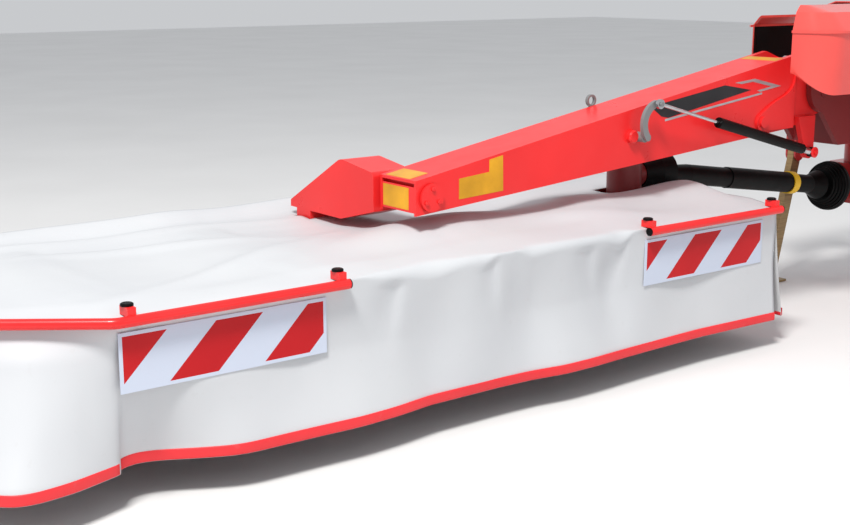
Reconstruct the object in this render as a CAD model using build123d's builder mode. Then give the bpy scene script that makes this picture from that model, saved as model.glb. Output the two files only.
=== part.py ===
"""Side-mounted disc mower: a cutterbar under a fabric cover, carried at its middle by a folding arm.

Millimetres. +X runs along the arm to the hitch, +Y is rearward (travel is along -Y), +Z is up.
The mower stands parked: cutterbar skids and parking leg on the ground at Z = 0.
"""

import os
from math import atan2, cos, pi, radians, sin, tan

from build123d import *

os.makedirs("parts", exist_ok=True)

# Fits
FIT = 0.3
SIDE_PLAY = 5.0

# Cutterbar: a flat gear case with one disc on each round lobe
DISC_COUNT = 7
DISC_PITCH = 435.0
FIRST_DISC_X = 430.0
DISC_Y = 140.0
CUT_RADIUS = 252.0
CASE_BOTTOM_Z = 22.0
CASE_THICK = 56.0
CASE_FRONT = 110.0
CASE_REAR = 230.0
LOBE_RADIUS = 165.0
HUB_RADIUS = 60.0
HUB_HEIGHT = 14.0
CASE_END = 270.0

LAST_DISC_X = FIRST_DISC_X - DISC_PITCH * (DISC_COUNT - 1)
INNER_END_X = FIRST_DISC_X + CASE_END
OUTER_END_X = LAST_DISC_X - CASE_END
CASE_TOP_Z = CASE_BOTTOM_Z + CASE_THICK
HUB_TOP_Z = CASE_TOP_Z + HUB_HEIGHT

# Discs: oval plates, domed, with two knives; the two end discs carry a cone
DISC_LONG = 190.0
DISC_SHORT = 150.0
DISC_PLATE = 6.0
SPINDLE_RADIUS = 28.0
SPINDLE_HEIGHT = 8.0
KNIFE_INNER = 128.0
KNIFE_WIDTH = 46.0
KNIFE_THICK = 4.0
DOME_RADIUS = 130.0
DOME_SHOULDER = 92.0
DOME_CROWN = 48.0
DOME_SHOULDER_RISE = 28.0
DOME_RISE = 38.0
DRUM_FOOT_RADIUS = 146.0
DRUM_TOP_RADIUS = 112.0
DRUM_TOP_Z = 420.0
CONE_TOP_RADIUS = 92.0
CONE_TOP_Z = 255.0
CONE_FOOT_RISE = 14.0

PLATE_BOTTOM_Z = HUB_TOP_Z + SPINDLE_HEIGHT
PLATE_TOP_Z = PLATE_BOTTOM_Z + DISC_PLATE

# Skid shoes under each lobe
SKID_WIDTH = 300.0
SKID_FRONT = 150.0
SKID_REAR = 190.0
SKID_NOSE = 178.0
SKID_NOSE_TIP = 194.0
SKID_NOSE_Z = 64.0
SKID_NOSE_THICK = 11.0

# Rear beam, end supports and swath board
BEAM_Y = 520.0
BEAM_Z = 470.0
BEAM_SIZE = 120.0
BEAM_WALL = 8.0
SUPPORT_THICK = 15.0
BOARD_THICK = 8.0
BOARD_START_Y = 400.0
BOARD_LENGTH = 390.0
BOARD_BOTTOM_Z = 60.0
BOARD_HEIGHT = 300.0

BEAM_TOP_Z = BEAM_Z + BEAM_SIZE / 2
BEAM_FRONT_Y = BEAM_Y - BEAM_SIZE / 2
BEAM_REAR_Y = BEAM_Y + BEAM_SIZE / 2

# Fabric cover: a top sheet on carriers, curtains hung from its edge, red hems below
COVER_FRONT_Y = -430.0
COVER_REAR_Y = 810.0
COVER_INNER_OVERHANG = 30.0
COVER_OUTER_OVERHANG = 140.0
CHAMFER_LENGTH = 420.0
CHAMFER_Y = -124.0
REAR_CHAMFER = 130.0
COVER_EDGE_Z = 597.0
COVER_TOP_Z = 615.0
COVER_SLOPE = 130.0
FABRIC = 5.0
HEM_Z = 112.0
HEM_HEIGHT = 24.0
HEM_THICK = 9.0
NOTCH_HALF = 95.0
NOTCH_DEPTH = 48.0
NOTCH_CLEARANCE = 20.0
CARRIER_WIDTH = 40.0
CARRIER_DEPTH = 28.0
OUTER_CARRIER_INSET = 40.0
INNER_CARRIER_INSET = 26.0

HEM_TOP_Z = HEM_Z + HEM_HEIGHT
COVER_INNER_X = INNER_END_X + COVER_INNER_OVERHANG
COVER_OUTER_X = OUTER_END_X - COVER_OUTER_OVERHANG
CHAMFER_X = COVER_OUTER_X + CHAMFER_LENGTH

# Guard tubes round the cover's edge
TUBE_RADIUS = 16.0
TUBE_WALL = 3.0
TUBE_Z = 589.0
TUBE_STAND_OFF = 25.0
TUBE_BEND = 60.0
OUTER_TUBE_RUN = 766.0
INNER_TUBE_RUN = 778.0
OUTER_TUBE_REAR_Y = 600.0
TAB_WIDTH = 26.0
TAB_REACH = 52.0
TAB_HEIGHT = 26.0
TAB_END = 21.0

OUTER_TUBE_END_X = CHAMFER_X + OUTER_TUBE_RUN
INNER_TUBE_START_X = COVER_INNER_X - INNER_TUBE_RUN
CARRIER_XS = (
    CHAMFER_X + OUTER_CARRIER_INSET,
    OUTER_TUBE_END_X - TAB_END,
    (OUTER_TUBE_END_X + INNER_TUBE_START_X) / 2,
    INNER_TUBE_START_X + TAB_END,
    COVER_INNER_X - INNER_CARRIER_INSET,
)
edge_rise = (COVER_TOP_Z - COVER_EDGE_Z) / COVER_SLOPE
TAB_BOTTOM_Z = COVER_EDGE_Z + edge_rise * (TAB_REACH - TUBE_STAND_OFF) + FIT

# Striped warning panels in front of the curtain
PANEL_THICK = 3.0
PANEL_LENGTH = 690.0
PANEL_HEIGHT = 177.0
PANEL_TOP_Z = 553.0
OUTER_PANEL_INSET = 5.0
INNER_PANEL_INSET = 85.0

PANEL_STARTS = (CHAMFER_X + OUTER_PANEL_INSET, COVER_INNER_X - INNER_PANEL_INSET - PANEL_LENGTH)

# Drive head above the inner disc
HEAD_Z = 685.0
HEAD_RADIUS = 75.0
HEAD_BOTTOM_Z = 480.0
HEAD_TOP_Z = 772.0
HEAD_EDGE = 14.0
SNOUT_RADIUS = 52.0
SNOUT_LENGTH = 120.0
STUB_RADIUS = 20.0
STUB_LENGTH = 15.0
HEAD_ARM_WIDTH = 90.0
HEAD_ARM_BOTTOM_Z = 485.0
HEAD_ARM_TOP_Z = 560.0
JOINT_REACH = 170.0
BELL_WALL = 4.0
BELL_COLLAR = 35.0
BELL_MID_RADIUS = 76.0
BELL_MOUTH_RADIUS = 86.0
BELL_MOUTH = 75.0

# Arm: tapered box beam from the tilt pin at the mower to the fold pin at the turret
ARM_FRONT_Y = -175.0
ARM_WIDTH = 210.0
ARM_WALL = 10.0
ARM_TIP_X = -930.0
ARM_TIP_BOTTOM_Z = 705.0
ARM_TIP_TOP_Z = 829.0
ARM_HEEL_TOP_X = 1180.0
ARM_HEEL_TOP_Z = 1190.0
ARM_HEEL_BOTTOM_X = 1120.0
ARM_HEEL_BOTTOM_Z = 866.0
ARM_BOX_END_X = 1075.0
ARM_CHEEK = 25.0
ARM_ROOT_RADIUS = 108.0
TILT_X = -865.0
TILT_Z = 766.0
TILT_PIN_RADIUS = 35.0
TILT_BOSS_RADIUS = 54.0
TILT_HEAD_RADIUS = 50.0
TILT_HEAD_THICK = 8.0
TIP_PLATE_INSET = 22.0
TIP_PLATE_BOTTOM_Z = 752.0
FOLD_X = 1330.0
FOLD_Z = 1030.0
FOLD_PIN_RADIUS = 40.0

ARM_BACK_Y = ARM_FRONT_Y + ARM_WIDTH
ARM_MID_Y = ARM_FRONT_Y + ARM_WIDTH / 2

# Pivot bracket: the hump that carries the mower behind the arm's end
BRACKET_WIDTH = 170.0
BRACKET_FRONT_Y = ARM_BACK_Y + 15.0
BRACKET_FRONT_BOTTOM_Z = 692.0
BRACKET_FRONT_TOP_Z = 832.0
BRACKET_PEAK_Y = 262.0
BRACKET_PEAK_Z = 862.0
BRACKET_TIP_Y = 612.0
BRACKET_TIP_Z = 662.0
BRACKET_FOOT_Z = 636.0
BRACKET_LEG_HALF = 48.0
BRACKET_CREST = 60.0
TILT_PIN_END_Y = 300.0

# Latch lever and hose guide on the arm
LEVER_THICK = 16.0
LEVER_WIDTH = 28.0
LEVER_GAP = 41.0
LEVER_FOOT = (168.0, 902.0)
LEVER_BELLY = (150.0, 968.0)
LEVER_TIP = (212.0, 1032.0)
LEVER_BOSS_RADIUS = 20.0
GUIDE_X = 120.0
GUIDE_Z = 1030.0
GUIDE_RADIUS = 24.0
GUIDE_WIRE = 7.0

# Doubler plate with a boss, welded on the arm's front face ahead of its heel
BOSS_X = 930.0
BOSS_Z = 907.0
BOSS_RADIUS = 24.0
BOSS_LENGTH = 10.0
DOUBLER_RADIUS = 38.0
DOUBLER_SWEEP = 150.0
DOUBLER_THICK = 10.0
DOUBLER_END_X = 1140.0
DOUBLER_TOP_Z = 1105.0
DOUBLER_BROW = (1020.0, 995.0)

# Turret between arm and hitch frame
KING_X = 1890.0
KING_RADIUS = 45.0
SLEEVE_RADIUS = 78.0
LUG_THICK = 25.0
LUG_RADIUS = 105.0
TURRET_LEFT_X = 1450.0
TURRET_RIGHT_X = 2190.0
TURRET_BOTTOM_Z = 770.0
TURRET_TOP_Z = 930.0
TURRET_WALL = 16.0
SLEEVE_BOTTOM_Z = 745.0
SLEEVE_TOP_Z = 955.0
POST_WIDTH = 60.0
POST_THICK = 15.0
POST_RISE = 190.0
LEFT_POST_INSET = 50.0
RIGHT_POST_INSET = 140.0

KING_Y = ARM_MID_Y
LUG_FRONT_Y = ARM_FRONT_Y - SIDE_PLAY - LUG_THICK
LUG_BACK_Y = ARM_BACK_Y + SIDE_PLAY + LUG_THICK
POST_XS = (TURRET_LEFT_X + LEFT_POST_INSET, TURRET_RIGHT_X - RIGHT_POST_INSET)

# Fold cylinder: from ears on the turret to the horn between the arm's cheeks
CYL_BASE_X = 1780.0
CYL_BASE_Z = 1000.0
HORN_RADIUS = 130.0
HORN_ANGLE = 125.0
BARREL_RADIUS = 38.0
BARREL_BORE = 30.0
BARREL_LENGTH = 282.0
BARREL_NECK = 24.0
CYL_ROD_RADIUS = 20.0
CYL_ROD_ENGAGED = 24.0
CYL_EYE_RADIUS = 34.0
CYL_EYE_WIDTH = 70.0
CYL_PIN_RADIUS = 17.0
HORN_BOSS_RADIUS = 24.0
EAR_THICK = 14.0

HORN_X = FOLD_X + HORN_RADIUS * cos(radians(HORN_ANGLE))
HORN_Z = FOLD_Z + HORN_RADIUS * sin(radians(HORN_ANGLE))
CYL_BASE = Vector(CYL_BASE_X, ARM_MID_Y, CYL_BASE_Z)
CYL_HORN = Vector(HORN_X, ARM_MID_Y, HORN_Z)
CYL_LENGTH = (CYL_HORN - CYL_BASE).length
CYL_PLANE = Plane(origin=CYL_BASE, x_dir=(0, 1, 0), z_dir=CYL_HORN - CYL_BASE)

# Headstock cover over the turret
HOOD_LEFT_X = 810.0
HOOD_RIGHT_X = 2230.0
HOOD_REAR_LEFT_X = 1350.0
HOOD_FRONT_Y = -430.0
HOOD_REAR_Y = 235.0
HOOD_BOTTOM_Z = 1030.0
HOOD_SHOULDER_Z = 1296.0
HOOD_TOP_Z = 1400.0
HOOD_WALL = 5.0
HOOD_CROWN_INSET = 130.0
HOOD_HAUNCH_RISE = 75.0
HOOD_HAUNCH_INSET = 45.0
HOOD_CORNERS = (150.0, 150.0, 60.0, 45.0)
HOOD_LIP = 12.0
HOOD_LIP_HEIGHT = 10.0
HOOD_SLOT_END_X = 1800.0
HOOD_SLOT_FRONT_Y = -275.0
HOOD_SLOT_REAR_Y = 210.0
HOOD_HEM_RADIUS = 110.0

HOOD_LEFT_ANGLE = atan2(HOOD_REAR_Y - HOOD_FRONT_Y, HOOD_REAR_LEFT_X - HOOD_LEFT_X)
HOOD_NOSE_X = HOOD_LEFT_X + HOOD_CORNERS[0] / tan(HOOD_LEFT_ANGLE / 2) - HOOD_CORNERS[0]

# Hitch: category 2 three-point linkage, yoke for the king pin
HITCH_X = 2110.0
HITCH_PIN_Y = -790.0
HITCH_PIN_Z = 500.0
HITCH_PIN_RADIUS = 14.0
HITCH_PIN_LENGTH = 95.0
HITCH_SHOULDER = 412.0
CHEEK_THICK = 20.0
CHEEK_RADIUS = 55.0
CROSS_Y = -650.0
CROSS_Z = 650.0
CROSS_SIZE = 100.0
CROSS_WALL = 8.0
MAST_GAP = 52.0
MAST_THICK = 15.0
MAST_TOP_Z = 1150.0
MAST_FRONT_Y = -795.0
TOP_LINK_Y = -757.0
TOP_LINK_Z = 1110.0
TOP_LINK_RADIUS = 12.9
YOKE_EYE_RADIUS = 65.0
LOWER_YOKE_Z = 700.0
UPPER_YOKE_Z = 965.0
YOKE_THICK = 35.0
YOKE_BASE_RIGHT_X = 2170.0
GUSSET_REAR_Y = -360.0
GUSSET_THICK = 16.0

KING_HEAD = 12.0

CROSS_TOP_Z = CROSS_Z + CROSS_SIZE / 2
YOKE_LEFT_X = KING_X - YOKE_EYE_RADIUS
YOKE_RIGHT_X = KING_X + YOKE_EYE_RADIUS
KING_BOTTOM_Z = LOWER_YOKE_Z - KING_HEAD
KING_TOP_Z = UPPER_YOKE_Z + YOKE_THICK + KING_HEAD

# Headstock gearbox: input from the tractor, output to the drive shaft
BOX_Z = 497.0
BOX_HALF_X = 80.0
BOX_HALF_Y = 110.0
BOX_HALF_Z = 100.0
BOX_EDGE = 24.0
NECK_RADIUS = 60.0
INPUT_RADIUS = 17.4
INPUT_LENGTH = 90.0
INPUT_BOSS_RADIUS = 45.0
INPUT_BOSS_LENGTH = 25.0
OUTPUT_RADIUS = 22.0

# Drive shaft from the turret joint to the drive head, inside plastic guards
SHAFT_START = Vector(KING_X, DISC_Y, BOX_Z)
SHAFT_END = Vector(FIRST_DISC_X + JOINT_REACH, DISC_Y, HEAD_Z)
SHAFT_SPAN = (SHAFT_END - SHAFT_START).length
SHAFT_PLANE = Plane(origin=SHAFT_START, x_dir=(0, 1, 0), z_dir=SHAFT_END - SHAFT_START)
BALL_RADIUS = 25.0
CROSS_PIN_RADIUS = 8.0
CONE_BACK = 8.0
CONE_BACK_RADIUS = 122.0
CONE_FRONT = 75.0
CONE_FRONT_RADIUS = 80.0
CONE_MOUTH_RADIUS = 46.0
CONE_RIB_COUNT = 4
CONE_RIB_PITCH = 14.0
CONE_RIB_WIDTH = 6.0
CONE_RIB_HEIGHT = 4.0
FLARE_START = 100.0
FLARE_RADIUS = 70.0
FLARE_END = 172.0
GUARD_WALL = 4.0
GUARD_COLLAR_RADIUS = 44.0
RING_START = 300.0
RING_WIDTH = 42.0
RING_RADIUS = 54.0
OUTER_GUARD_RADIUS = 49.0
OUTER_GUARD_END = 800.0
INNER_GUARD_RADIUS = 36.0
INNER_GUARD_GAP = 87.0

CONE_TAPER = (CONE_BACK_RADIUS - CONE_FRONT_RADIUS) / (CONE_FRONT - CONE_BACK)

# Latch strut in front of the arm, from a bracket at the arm's heel to the lever
STRUT_BASE_X = 1244.0
STRUT_BASE_Y = -215.0
STRUT_BASE_Z = 756.0
STRUT_TIP_Y = -246.0
STRUT_BASE = Vector(STRUT_BASE_X, STRUT_BASE_Y, STRUT_BASE_Z)
STRUT_TIP = Vector(LEVER_TIP[0], STRUT_TIP_Y, LEVER_TIP[1])
STRUT_SPAN = (STRUT_TIP - STRUT_BASE).length
STRUT_PLANE = Plane(origin=STRUT_BASE, x_dir=(0, 1, 0), z_dir=STRUT_TIP - STRUT_BASE)
STRUT_EYE_RADIUS = 22.0
STRUT_EYE_WIDTH = 26.0
STRUT_PIN_RADIUS = 10.0
STRUT_NECK_RADIUS = 13.0
STRUT_TUBE_START = 80.0
STRUT_TUBE_END = 690.0
STRUT_TUBE_RADIUS = 22.0
STRUT_ROD_RADIUS = 7.0
STRUT_ROD_START = 460.0
STRUT_RING_RADIUS = 19.0
STRUT_RING_HOLE = 9.0
STRUT_RING_WIDTH = 14.0
STRUT_PLATE_THICK = 25.0
STRUT_PLATE_RADIUS = 30.0
STRUT_PLATE_REACH = 90.0
STRUT_PLATE_RISE = 160.0

# Parking leg
LEG_PIVOT_X = 1860.0
LEG_PIVOT_Z = 640.0
LEG_Y = 330.0
LEG_LEAN = 155.0
LEG_WIDTH = 60.0
LEG_THICK = 36.0
LEG_PIN_RADIUS = 12.0
LEG_EYE_RADIUS = 34.0
FOOT_LENGTH = 150.0
FOOT_WIDTH = 110.0
FOOT_THICK = 10.0
LEG_CHEEK_THICK = 10.0
LEG_CHEEK_GAP = 2.0
HANGER_THICK = 25.0


def upright(y):
    """Plane across Y, its sketch in X and Z; a negative extrusion runs towards +Y."""
    return Plane(origin=(0, y, 0), x_dir=(1, 0, 0), z_dir=(0, -1, 0))


def write(part, name):
    """Label a finished node and write its STEP file."""
    part.label = name
    export_step(part, f"parts/{name}.step")


disc_xs = [FIRST_DISC_X - DISC_PITCH * i for i in range(DISC_COUNT)]

# Cutterbar case with a lobe and a bearing hub for each disc
with BuildPart() as cutterbar_case:
    with BuildSketch(Plane.XY.offset(CASE_BOTTOM_Z)):
        with Locations(((INNER_END_X + OUTER_END_X) / 2, DISC_Y + (CASE_REAR - CASE_FRONT) / 2)):
            Rectangle(INNER_END_X - OUTER_END_X, CASE_FRONT + CASE_REAR)
        with Locations(*[(x, DISC_Y) for x in disc_xs]):
            Circle(LOBE_RADIUS)
    extrude(amount=CASE_THICK)
    with BuildSketch(Plane.XY.offset(CASE_TOP_Z)):
        with Locations(*[(x, DISC_Y) for x in disc_xs]):
            Circle(HUB_RADIUS)
    extrude(amount=HUB_HEIGHT)
write(cutterbar_case.part, "cutterbar_case")

# Skid shoes, one under each lobe
with BuildPart() as skid_shoes:
    for disc_x in disc_xs:
        with BuildSketch(Plane.YZ.offset(disc_x - SKID_WIDTH / 2)):
            with BuildLine():
                Polyline(
                    (DISC_Y - SKID_FRONT, 0),
                    (DISC_Y + SKID_REAR, 0),
                    (DISC_Y + SKID_REAR, CASE_BOTTOM_Z),
                    (DISC_Y - SKID_NOSE + SKID_NOSE_THICK, CASE_BOTTOM_Z),
                    (DISC_Y - SKID_NOSE_TIP + SKID_NOSE_THICK, SKID_NOSE_Z),
                    (DISC_Y - SKID_NOSE_TIP, SKID_NOSE_Z),
                    (DISC_Y - SKID_NOSE, CASE_BOTTOM_Z),
                    close=True,
                )
            make_face()
        extrude(amount=SKID_WIDTH)
write(skid_shoes.part, "skid_shoes")

# Discs; every second one stands a quarter turn on, so that the knives interleave
for i, disc_x in enumerate(disc_xs):
    turn = 90.0 * (i % 2)
    disc_axis = Axis((disc_x, DISC_Y, 0), (0, 0, 1))
    plate_plane = Plane(origin=(disc_x, DISC_Y, PLATE_BOTTOM_Z)).rotated((0, 0, turn))
    if i == 0:
        crown = (
            (0, PLATE_TOP_Z),
            (DRUM_FOOT_RADIUS, PLATE_TOP_Z),
            (DRUM_FOOT_RADIUS, PLATE_TOP_Z + CONE_FOOT_RISE),
            (DRUM_TOP_RADIUS, DRUM_TOP_Z),
            (SPINDLE_RADIUS, DRUM_TOP_Z),
            (SPINDLE_RADIUS, HEAD_BOTTOM_Z - FIT),
            (0, HEAD_BOTTOM_Z - FIT),
        )
    elif i == DISC_COUNT - 1:
        crown = (
            (0, PLATE_TOP_Z),
            (DRUM_FOOT_RADIUS, PLATE_TOP_Z),
            (DRUM_FOOT_RADIUS, PLATE_TOP_Z + CONE_FOOT_RISE),
            (CONE_TOP_RADIUS, CONE_TOP_Z),
            (0, CONE_TOP_Z),
        )
    else:
        crown = (
            (0, PLATE_TOP_Z),
            (DOME_RADIUS, PLATE_TOP_Z),
            (DOME_SHOULDER, PLATE_TOP_Z + DOME_SHOULDER_RISE),
            (DOME_CROWN, PLATE_TOP_Z + DOME_RISE),
            (0, PLATE_TOP_Z + DOME_RISE),
        )
    with BuildPart() as disc:
        with BuildSketch(plate_plane):
            Ellipse(DISC_LONG, DISC_SHORT)
        extrude(amount=DISC_PLATE)
        with BuildSketch(plate_plane):
            for side in (-1, 1):
                with Locations((side * (KNIFE_INNER + CUT_RADIUS) / 2, 0)):
                    Rectangle(CUT_RADIUS - KNIFE_INNER, KNIFE_WIDTH)
        extrude(amount=-KNIFE_THICK)
        with BuildSketch(plate_plane):
            Circle(SPINDLE_RADIUS)
        extrude(amount=-(SPINDLE_HEIGHT - FIT))
        with BuildSketch(Plane(origin=(disc_x, DISC_Y, 0), x_dir=(1, 0, 0), z_dir=(0, -1, 0))):
            with BuildLine():
                Polyline(*crown, close=True)
            make_face()
        revolve(axis=disc_axis)
    write(disc.part, f"disc_{i + 1}")

# Rear beam
with BuildPart() as rear_beam:
    with BuildSketch(Plane.YZ.offset(OUTER_END_X)):
        with Locations((BEAM_Y, BEAM_Z)):
            Rectangle(BEAM_SIZE, BEAM_SIZE)
            Rectangle(BEAM_SIZE - 2 * BEAM_WALL, BEAM_SIZE - 2 * BEAM_WALL, mode=Mode.SUBTRACT)
    extrude(amount=INNER_END_X - OUTER_END_X)
write(rear_beam.part, "rear_beam")

# End supports from the cutterbar's ends up to the beam
with BuildPart() as end_supports:
    for start_x in (INNER_END_X, OUTER_END_X - SUPPORT_THICK):
        with BuildSketch(Plane.YZ.offset(start_x)):
            with BuildLine():
                Polyline(
                    (DISC_Y - CASE_FRONT, CASE_BOTTOM_Z),
                    (DISC_Y + CASE_REAR, CASE_BOTTOM_Z),
                    (BEAM_REAR_Y, BEAM_Z - BEAM_SIZE / 2),
                    (BEAM_REAR_Y, BEAM_TOP_Z),
                    (BEAM_FRONT_Y, BEAM_TOP_Z),
                    (DISC_Y + CASE_FRONT, CASE_TOP_Z + CASE_FRONT),
                    (DISC_Y - CASE_FRONT, CASE_TOP_Z),
                    close=True,
                )
            make_face()
        extrude(amount=SUPPORT_THICK)
write(end_supports.part, "end_supports")

# Swath board behind the outer disc
with BuildPart() as swath_board:
    with BuildSketch(Plane.YZ.offset(OUTER_END_X)):
        with Locations((BOARD_START_Y + BOARD_LENGTH / 2, BOARD_BOTTOM_Z + BOARD_HEIGHT / 2)):
            RectangleRounded(BOARD_LENGTH, BOARD_HEIGHT, BOARD_HEIGHT / 4)
    extrude(amount=BOARD_THICK)
write(swath_board.part, "swath_board")

# Drive head with its carrying arm from the beam
with BuildPart() as drive_head:
    with BuildSketch(Plane.XY.offset(HEAD_BOTTOM_Z)):
        with Locations((FIRST_DISC_X, DISC_Y)):
            Circle(HEAD_RADIUS)
    extrude(amount=HEAD_TOP_Z - HEAD_BOTTOM_Z)
    fillet(drive_head.edges().sort_by(Axis.Z)[-1], HEAD_EDGE)
    with BuildSketch(Plane(origin=(FIRST_DISC_X, DISC_Y, HEAD_Z), z_dir=(1, 0, 0))):
        Circle(SNOUT_RADIUS)
    extrude(amount=SNOUT_LENGTH)
    with BuildSketch(Plane(origin=(FIRST_DISC_X + SNOUT_LENGTH, DISC_Y, HEAD_Z), z_dir=(1, 0, 0))):
        Circle(STUB_RADIUS)
    extrude(amount=STUB_LENGTH)
    with BuildSketch(Plane.XY.offset(HEAD_ARM_BOTTOM_Z)):
        with Locations((FIRST_DISC_X, (DISC_Y + BEAM_FRONT_Y) / 2)):
            Rectangle(HEAD_ARM_WIDTH, BEAM_FRONT_Y - DISC_Y)
    extrude(amount=HEAD_ARM_TOP_Z - HEAD_ARM_BOTTOM_Z)
write(drive_head.part, "drive_head")

# Guard bell on the drive head's input
joint_x = FIRST_DISC_X + JOINT_REACH
snout_end_x = FIRST_DISC_X + SNOUT_LENGTH
with BuildPart() as drive_bell:
    with BuildSketch(Plane(origin=(0, DISC_Y, HEAD_Z), x_dir=(1, 0, 0), z_dir=(0, -1, 0))):
        with BuildLine():
            Polyline(
                (snout_end_x - BELL_COLLAR, SNOUT_RADIUS + FIT),
                (snout_end_x - BELL_COLLAR, SNOUT_RADIUS + FIT + BELL_WALL),
                (joint_x, BELL_MID_RADIUS + BELL_WALL),
                (joint_x + BELL_MOUTH, BELL_MOUTH_RADIUS),
                (joint_x + BELL_MOUTH, BELL_MOUTH_RADIUS - BELL_WALL),
                (joint_x, BELL_MID_RADIUS),
                (snout_end_x, SNOUT_RADIUS + FIT),
                close=True,
            )
        make_face()
    revolve(axis=Axis((0, DISC_Y, HEAD_Z), (1, 0, 0)))
write(drive_bell.part, "drive_bell")

# Plan of the fabric cover, its outer front corner cut off wide
cover_plan = (
    (COVER_INNER_X, COVER_FRONT_Y),
    (CHAMFER_X, COVER_FRONT_Y),
    (COVER_OUTER_X, CHAMFER_Y),
    (COVER_OUTER_X, COVER_REAR_Y - REAR_CHAMFER),
    (COVER_OUTER_X + REAR_CHAMFER, COVER_REAR_Y),
    (COVER_INNER_X, COVER_REAR_Y),
)
cover_ridge = (
    (COVER_FRONT_Y, COVER_EDGE_Z),
    (COVER_FRONT_Y + COVER_SLOPE, COVER_TOP_Z),
    (COVER_REAR_Y - COVER_SLOPE, COVER_TOP_Z),
    (COVER_REAR_Y, COVER_EDGE_Z),
)


def lowered(points, drop):
    """The same line of points, moved down."""
    return [(u, v - drop) for u, v in points]


notch_start_x = FIRST_DISC_X - HEAD_RADIUS - NOTCH_CLEARANCE
with BuildPart() as cover_top:
    with BuildSketch(Plane.YZ.offset(COVER_OUTER_X)):
        with BuildLine():
            Polyline(*cover_ridge, *reversed(lowered(cover_ridge, FABRIC)), close=True)
        make_face()
    extrude(amount=COVER_INNER_X - COVER_OUTER_X)
    with BuildSketch(Plane.XY.offset(HEAD_BOTTOM_Z)):
        with BuildLine():
            Polyline(*cover_plan, close=True)
        make_face()
    extrude(amount=HEAD_TOP_Z - HEAD_BOTTOM_Z, mode=Mode.INTERSECT)
    with BuildSketch(Plane.XY.offset(HEAD_BOTTOM_Z)):
        with Locations(((notch_start_x + COVER_INNER_X) / 2 + NOTCH_HALF, DISC_Y)):
            Rectangle(COVER_INNER_X - notch_start_x + 2 * NOTCH_HALF, 2 * NOTCH_HALF)
        with Locations((TILT_X, BEAM_Y)):
            Rectangle(BRACKET_WIDTH + 2 * SIDE_PLAY, 2 * (BRACKET_LEG_HALF + SIDE_PLAY))
    extrude(amount=HEAD_TOP_Z - HEAD_BOTTOM_Z, mode=Mode.SUBTRACT)
write(cover_top.part, "cover_top")

# Carriers that hold the cover up from the beam; the inner one dips under the drive shaft
shaft_dip = (
    (DISC_Y - NOTCH_HALF - NOTCH_DEPTH, COVER_TOP_Z),
    (DISC_Y - NOTCH_HALF, COVER_TOP_Z - NOTCH_DEPTH),
    (DISC_Y + NOTCH_HALF, COVER_TOP_Z - NOTCH_DEPTH),
    (DISC_Y + NOTCH_HALF + NOTCH_DEPTH, COVER_TOP_Z),
)
with BuildPart() as cover_carriers:
    for carrier_x in CARRIER_XS:
        dip = shaft_dip if carrier_x == CARRIER_XS[-1] else ()
        run_points = ((COVER_FRONT_Y + 2 * FABRIC, COVER_EDGE_Z), cover_ridge[1], *dip, cover_ridge[2])
        front_run = lowered(run_points, FABRIC + FIT)
        with BuildSketch(Plane.YZ.offset(carrier_x - CARRIER_WIDTH / 2)):
            with BuildLine():
                Polyline(*front_run, *reversed(lowered(front_run, CARRIER_DEPTH)), close=True)
            make_face()
            with Locations((BEAM_Y, (BEAM_TOP_Z + COVER_TOP_Z - FABRIC - FIT) / 2)):
                Rectangle(BEAM_SIZE, COVER_TOP_Z - FABRIC - FIT - BEAM_TOP_Z)
        extrude(amount=CARRIER_WIDTH)
write(cover_carriers.part, "cover_carriers")

# Curtains: flat panels from the cover's edge down to the hem
curtain_runs = {
    "curtain_front": (cover_plan[0], cover_plan[1]),
    "curtain_corner": (cover_plan[1], cover_plan[2]),
    "curtain_outer": (cover_plan[2], cover_plan[3]),
    "curtain_rear_corner": (cover_plan[3], cover_plan[4]),
    "curtain_rear": (cover_plan[4], cover_plan[5]),
    "curtain_inner": (cover_plan[5], cover_plan[0]),
}


def hanging(start, end, inset, thick, bottom_z, top_z):
    """Upright slab along one edge of the cover's plan, thickened towards the inside."""
    along = (Vector(*end) - Vector(*start)).normalized()
    inward = along.rotate(Axis.Z, -90)
    first = Vector(*start) + along * inset
    last = Vector(*end) - along * inset
    with BuildPart(mode=Mode.PRIVATE) as slab:
        with BuildSketch(Plane.XY.offset(bottom_z)):
            with BuildLine():
                Polyline(
                    (first.X, first.Y),
                    (last.X, last.Y),
                    tuple(last + inward * thick)[:2],
                    tuple(first + inward * thick)[:2],
                    close=True,
                )
            make_face()
        extrude(amount=top_z - bottom_z)
        with BuildSketch(Plane.YZ.offset(COVER_OUTER_X)):
            with BuildLine():
                Polyline(*lowered(cover_ridge, FABRIC), (COVER_REAR_Y, 0), (COVER_FRONT_Y, 0), close=True)
            make_face()
        extrude(amount=COVER_INNER_X - COVER_OUTER_X, mode=Mode.INTERSECT)
    return slab.part


for curtain_name, (run_start, run_end) in curtain_runs.items():
    with BuildPart() as curtain:
        add(hanging(run_start, run_end, FABRIC, FABRIC, HEM_TOP_Z, COVER_TOP_Z))
        if curtain_name == "curtain_inner":
            with BuildSketch(Plane.XY.offset(COVER_TOP_Z - NOTCH_DEPTH)):
                with Locations((COVER_INNER_X, DISC_Y)):
                    Rectangle(4 * FABRIC, 2 * NOTCH_HALF)
            extrude(amount=NOTCH_DEPTH, mode=Mode.SUBTRACT)
    write(curtain.part, curtain_name)

hem_strips = [
    hanging(run_start, run_end, HEM_THICK, HEM_THICK, HEM_Z, HEM_TOP_Z)
    for run_start, run_end in curtain_runs.values()
]
write(Compound(children=hem_strips), "hems")

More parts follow.
